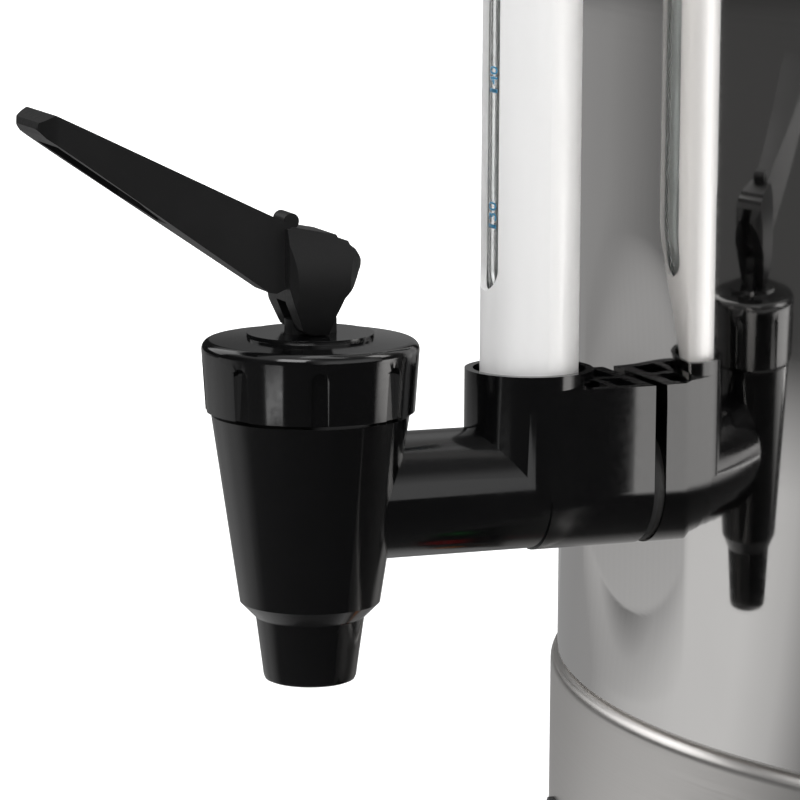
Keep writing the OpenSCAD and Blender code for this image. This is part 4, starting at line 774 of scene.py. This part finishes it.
class URN_OT_base(bpy.types.Operator):
    """Finishes the base: skirt, plate, feet and what is inside"""
    bl_idname = "urn.base"
    bl_label = "Base"

    def execute(self, context):
        self.skirt()
        dress("plate_steel", "base_plate", "base_posts")
        dress("fixings", "base_screws", "foot_screws", "foot_nuts")
        dress("dark_rubber", "feet")
        dress("sensor_phenolic", "thermostat", "thermal_cutout")
        dress("block_ceramic", "terminal_block")
        dress("lead_sleeve", "inner_leads")
        return {"FINISHED"}

    def skirt(self):
        """The satin skirt: turned with its rolled shoulder, then cut for switch, lamps and inlet."""
        low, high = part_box("base_skirt")
        sheet = 1.0 * MM
        outer = high.x
        shoulder = 2.6 * MM
        top = 97.1 * MM
        spigot = 148.0 * MM
        flange = 12.0 * MM
        corner = outer - shoulder
        soft = 0.4 * MM
        profile = arc(outer - soft, low.z + soft, soft, -90, 0, 4)
        profile += [(outer, z) for z in levels(low.z + 6 * MM, top - shoulder - MM, 12 * MM)]
        profile += arc(corner, top - shoulder, shoulder, 0, 84, 10)
        profile += [(spigot, top), (spigot, high.z), (spigot - sheet, high.z),
                    (spigot - sheet, top - sheet)]
        profile += arc(corner, top - shoulder, shoulder - sheet, 88, 0, 6)
        profile += [(outer - sheet, low.z + sheet), (outer - flange, low.z + sheet),
                    (outer - flange, low.z)]
        bm = turned(profile, steps=240)
        inlet_low, inlet_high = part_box("power_inlet")
        lamp_low, lamp_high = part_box("ready_lens")
        gap = 0.5 * MM
        panel_z = (lamp_low.z + lamp_high.z) / 2
        lamp_x = (lamp_low.x + lamp_high.x) / 2
        inner = outer - 14 * MM
        switch_x, switch_z = 10.2 * MM, 14.2 * MM       # half the width and height of its opening
        tools = [block((-switch_x, -outer - MM, panel_z - switch_z),
                       (switch_x, -inner, panel_z + switch_z)),
                 block((inlet_low.x - gap, inner, inlet_low.z - gap),
                       (inlet_high.x + gap, outer + 4 * MM, inlet_high.z + gap))]
        tools += [rod((side * lamp_x, -outer + 8 * MM, panel_z), (0, 1, 0), 5.0 * MM, 24 * MM)
                  for side in (-1, 1)]
        piece("base_skirt_shell", cut(bm, tools), "urn", "base_steel", ["base_skirt"], sharp=24.0)


class URN_OT_tap(bpy.types.Operator):
    """Adds the tap's moulded body and bonnet, and finishes its valve and fixings"""
    bl_idname = "urn.tap"
    bl_label = "Tap"

    def execute(self, context):
        sizes = context.scene.urn_sizes
        for node, name, width in (("tap_body", "tap_body_moulding", sizes.tap_edge),
                                  ("tap_bonnet", "tap_bonnet_moulding", sizes.bonnet_edge)):
            bm = merged_copy(node)
            soften(bm, width, 2)
            piece(name, bm, "urn", "tap_black", [node], softened=True)
        dress("lever_black", "valve_stem")
        dress("silicone", "seat_cup", "inner_gasket")
        dress("dark_rubber", "outer_gasket")
        dress("fixings", "lock_washer", "shank_nut", "lever_pin")
        dress("spring_wire", "valve_spring")
        return {"FINISHED"}


class URN_OT_lever(bpy.types.Operator):
    """Adds the lever with its moulded edges"""
    bl_idname = "urn.lever"
    bl_label = "Lever"

    def execute(self, context):
        bm = merged_copy("tap_lever")
        soften(bm, context.scene.urn_sizes.lever_edge, 3)
        piece("tap_lever_moulding", bm, "lever", "lever_black", ["tap_lever"], softened=True)
        return {"FINISHED"}


class URN_OT_gauge(bpy.types.Operator):
    """Finishes the level gauge and prints the figures on its glass"""
    bl_idname = "urn.gauge"
    bl_label = "Gauge"

    def execute(self, context):
        dress("shield_metal", "gauge_shield")
        dress("sight_glass", "gauge_glass")
        dress("dark_rubber", "gauge_seal")
        dress("silicone", "gauge_top_seal")
        dress("knob_black", "gauge_holder", "gauge_cap")
        dress("fixings", "holder_screws")
        self.figures(context.scene.urn_sizes)
        return {"FINISHED"}

    def figures(self, sizes):
        """A short mark for each ten cups with its number above it, reading upwards."""
        low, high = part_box("gauge_glass")
        glass_r = (high.x - low.x) / 2
        centre_y = (high.y + low.y) / 2
        print_t = 0.06 * MM
        lift = 0.01 * MM            # the print's back stands this far off the glass
        mark_h = 0.7 * MM
        number_l = 3.45 * MM        # length of each number along the tube
        number_up = 1.2 * MM        # from the mark's middle to its number
        bm = bmesh.new()
        count = (sizes.figure_last - sizes.figure_first) // 10
        for step in range(count + 1):
            level = sizes.figure_base + step * sizes.figure_rise
            mark = bmesh.ops.create_cube(bm, size=1.0)["verts"]
            bmesh.ops.scale(bm, vec=(sizes.figure_h, mark_h, print_t), verts=mark)
            bmesh.ops.translate(bm, vec=(0, level, print_t / 2), verts=mark)
            curve = bpy.data.curves.new("figure", "FONT")
            curve.body = str(sizes.figure_first + 10 * step)
            curve.size = sizes.figure_h * 1.38
            curve.extrude = print_t / 2
            curve.resolution_u = 3
            text = bpy.data.objects.new("figure", curve)
            mesh = text.to_mesh()
            before = len(bm.verts)
            bm.from_mesh(mesh)
            bm.verts.ensure_lookup_table()
            letters = bm.verts[before:]
            text.to_mesh_clear()
            bpy.data.objects.remove(text)
            bpy.data.curves.remove(curve)
            low_x = min(v.co.x for v in letters)
            wide = max(v.co.x for v in letters) - low_x
            bmesh.ops.translate(bm, vec=(-low_x, -sizes.figure_h / 2, print_t / 2), verts=letters)
            bmesh.ops.scale(bm, vec=(number_l / wide, 1, 1), verts=letters)
            bmesh.ops.rotate(bm, cent=(0, 0, 0), matrix=Matrix.Rotation(math.pi / 2, 3, "Z"),
                             verts=letters)
            bmesh.ops.translate(bm, vec=(0, level + number_up, 0), verts=letters)
        bmesh.ops.remove_doubles(bm, verts=bm.verts, dist=TOUCHING / 4)
        for vert in bm.verts:
            angle = vert.co.x / glass_r
            r = glass_r + lift + vert.co.z
            vert.co = Vector((r * math.sin(angle), centre_y - r * math.cos(angle), vert.co.y))
        bmesh.ops.recalc_face_normals(bm, faces=bm.faces)
        piece("gauge_figures", bm, "urn", "sight_glass", material=finish("figures"))


class URN_OT_handles(bpy.types.Operator):
    """Finishes the two carrying handles and their screws"""
    bl_idname = "urn.handles"
    bl_label = "Handles"

    def execute(self, context):
        dress("knob_black", "handle_left", "handle_right")
        dress("fixings", "handle_screws")
        dress("silicone", "handle_washers")
        return {"FINISHED"}


class URN_OT_controls(bpy.types.Operator):
    """Finishes the switch panel, the lamps and the power inlet"""
    bl_idname = "urn.controls"
    bl_label = "Controls"

    def execute(self, context):
        width = context.scene.urn_sizes.grip_edge
        bm = merged_copy("control_panel")
        soften(bm, width, 3)
        piece("control_panel_moulding", bm, "urn", "panel_black", ["control_panel"], softened=True)
        dress("panel_black", "switch_frame", "lamp_bodies", "inlet_surround", "power_inlet")
        dress("rocker_red", "switch_rocker")
        dress("lens_amber", "brew_lens")
        dress("lens_green", "ready_lens")
        dress("contact_brass", "inlet_pins")
        dress("fixings", "inlet_screws")
        return {"FINISHED"}


class URN_PT_panel(bpy.types.Panel):
    """Lists the urn's pieces, sizes and colours"""
    bl_idname = "URN_PT_panel"
    bl_label = "Coffee Urn"
    bl_space_type = "VIEW_3D"
    bl_region_type = "UI"
    bl_category = "Urn"

    def draw(self, context):
        column = self.layout.column()
        for operator in OPERATORS:
            column.operator(operator.bl_idname)
        for group in (context.scene.urn_sizes, context.scene.urn_colours):
            for name in group.__annotations__:
                column.prop(group, name)


OPERATORS = (URN_OT_stage, URN_OT_tank, URN_OT_lid, URN_OT_brewing_set, URN_OT_base, URN_OT_tap,
             URN_OT_lever, URN_OT_gauge, URN_OT_handles, URN_OT_controls)
CLASSES = (UrnColours, UrnSizes) + OPERATORS + (URN_PT_panel,)


def register():
    for cls in CLASSES:
        bpy.utils.register_class(cls)
    bpy.types.Scene.urn_colours = PointerProperty(type=UrnColours)
    bpy.types.Scene.urn_sizes = PointerProperty(type=UrnSizes)


def unregister():
    del bpy.types.Scene.urn_sizes
    del bpy.types.Scene.urn_colours
    for cls in reversed(CLASSES):
        bpy.utils.unregister_class(cls)


def main():
    register()
    for operator in OPERATORS:
        group, name = operator.bl_idname.split(".")
        getattr(getattr(bpy.ops, group), name)()


if __name__ == "__main__":
    main()
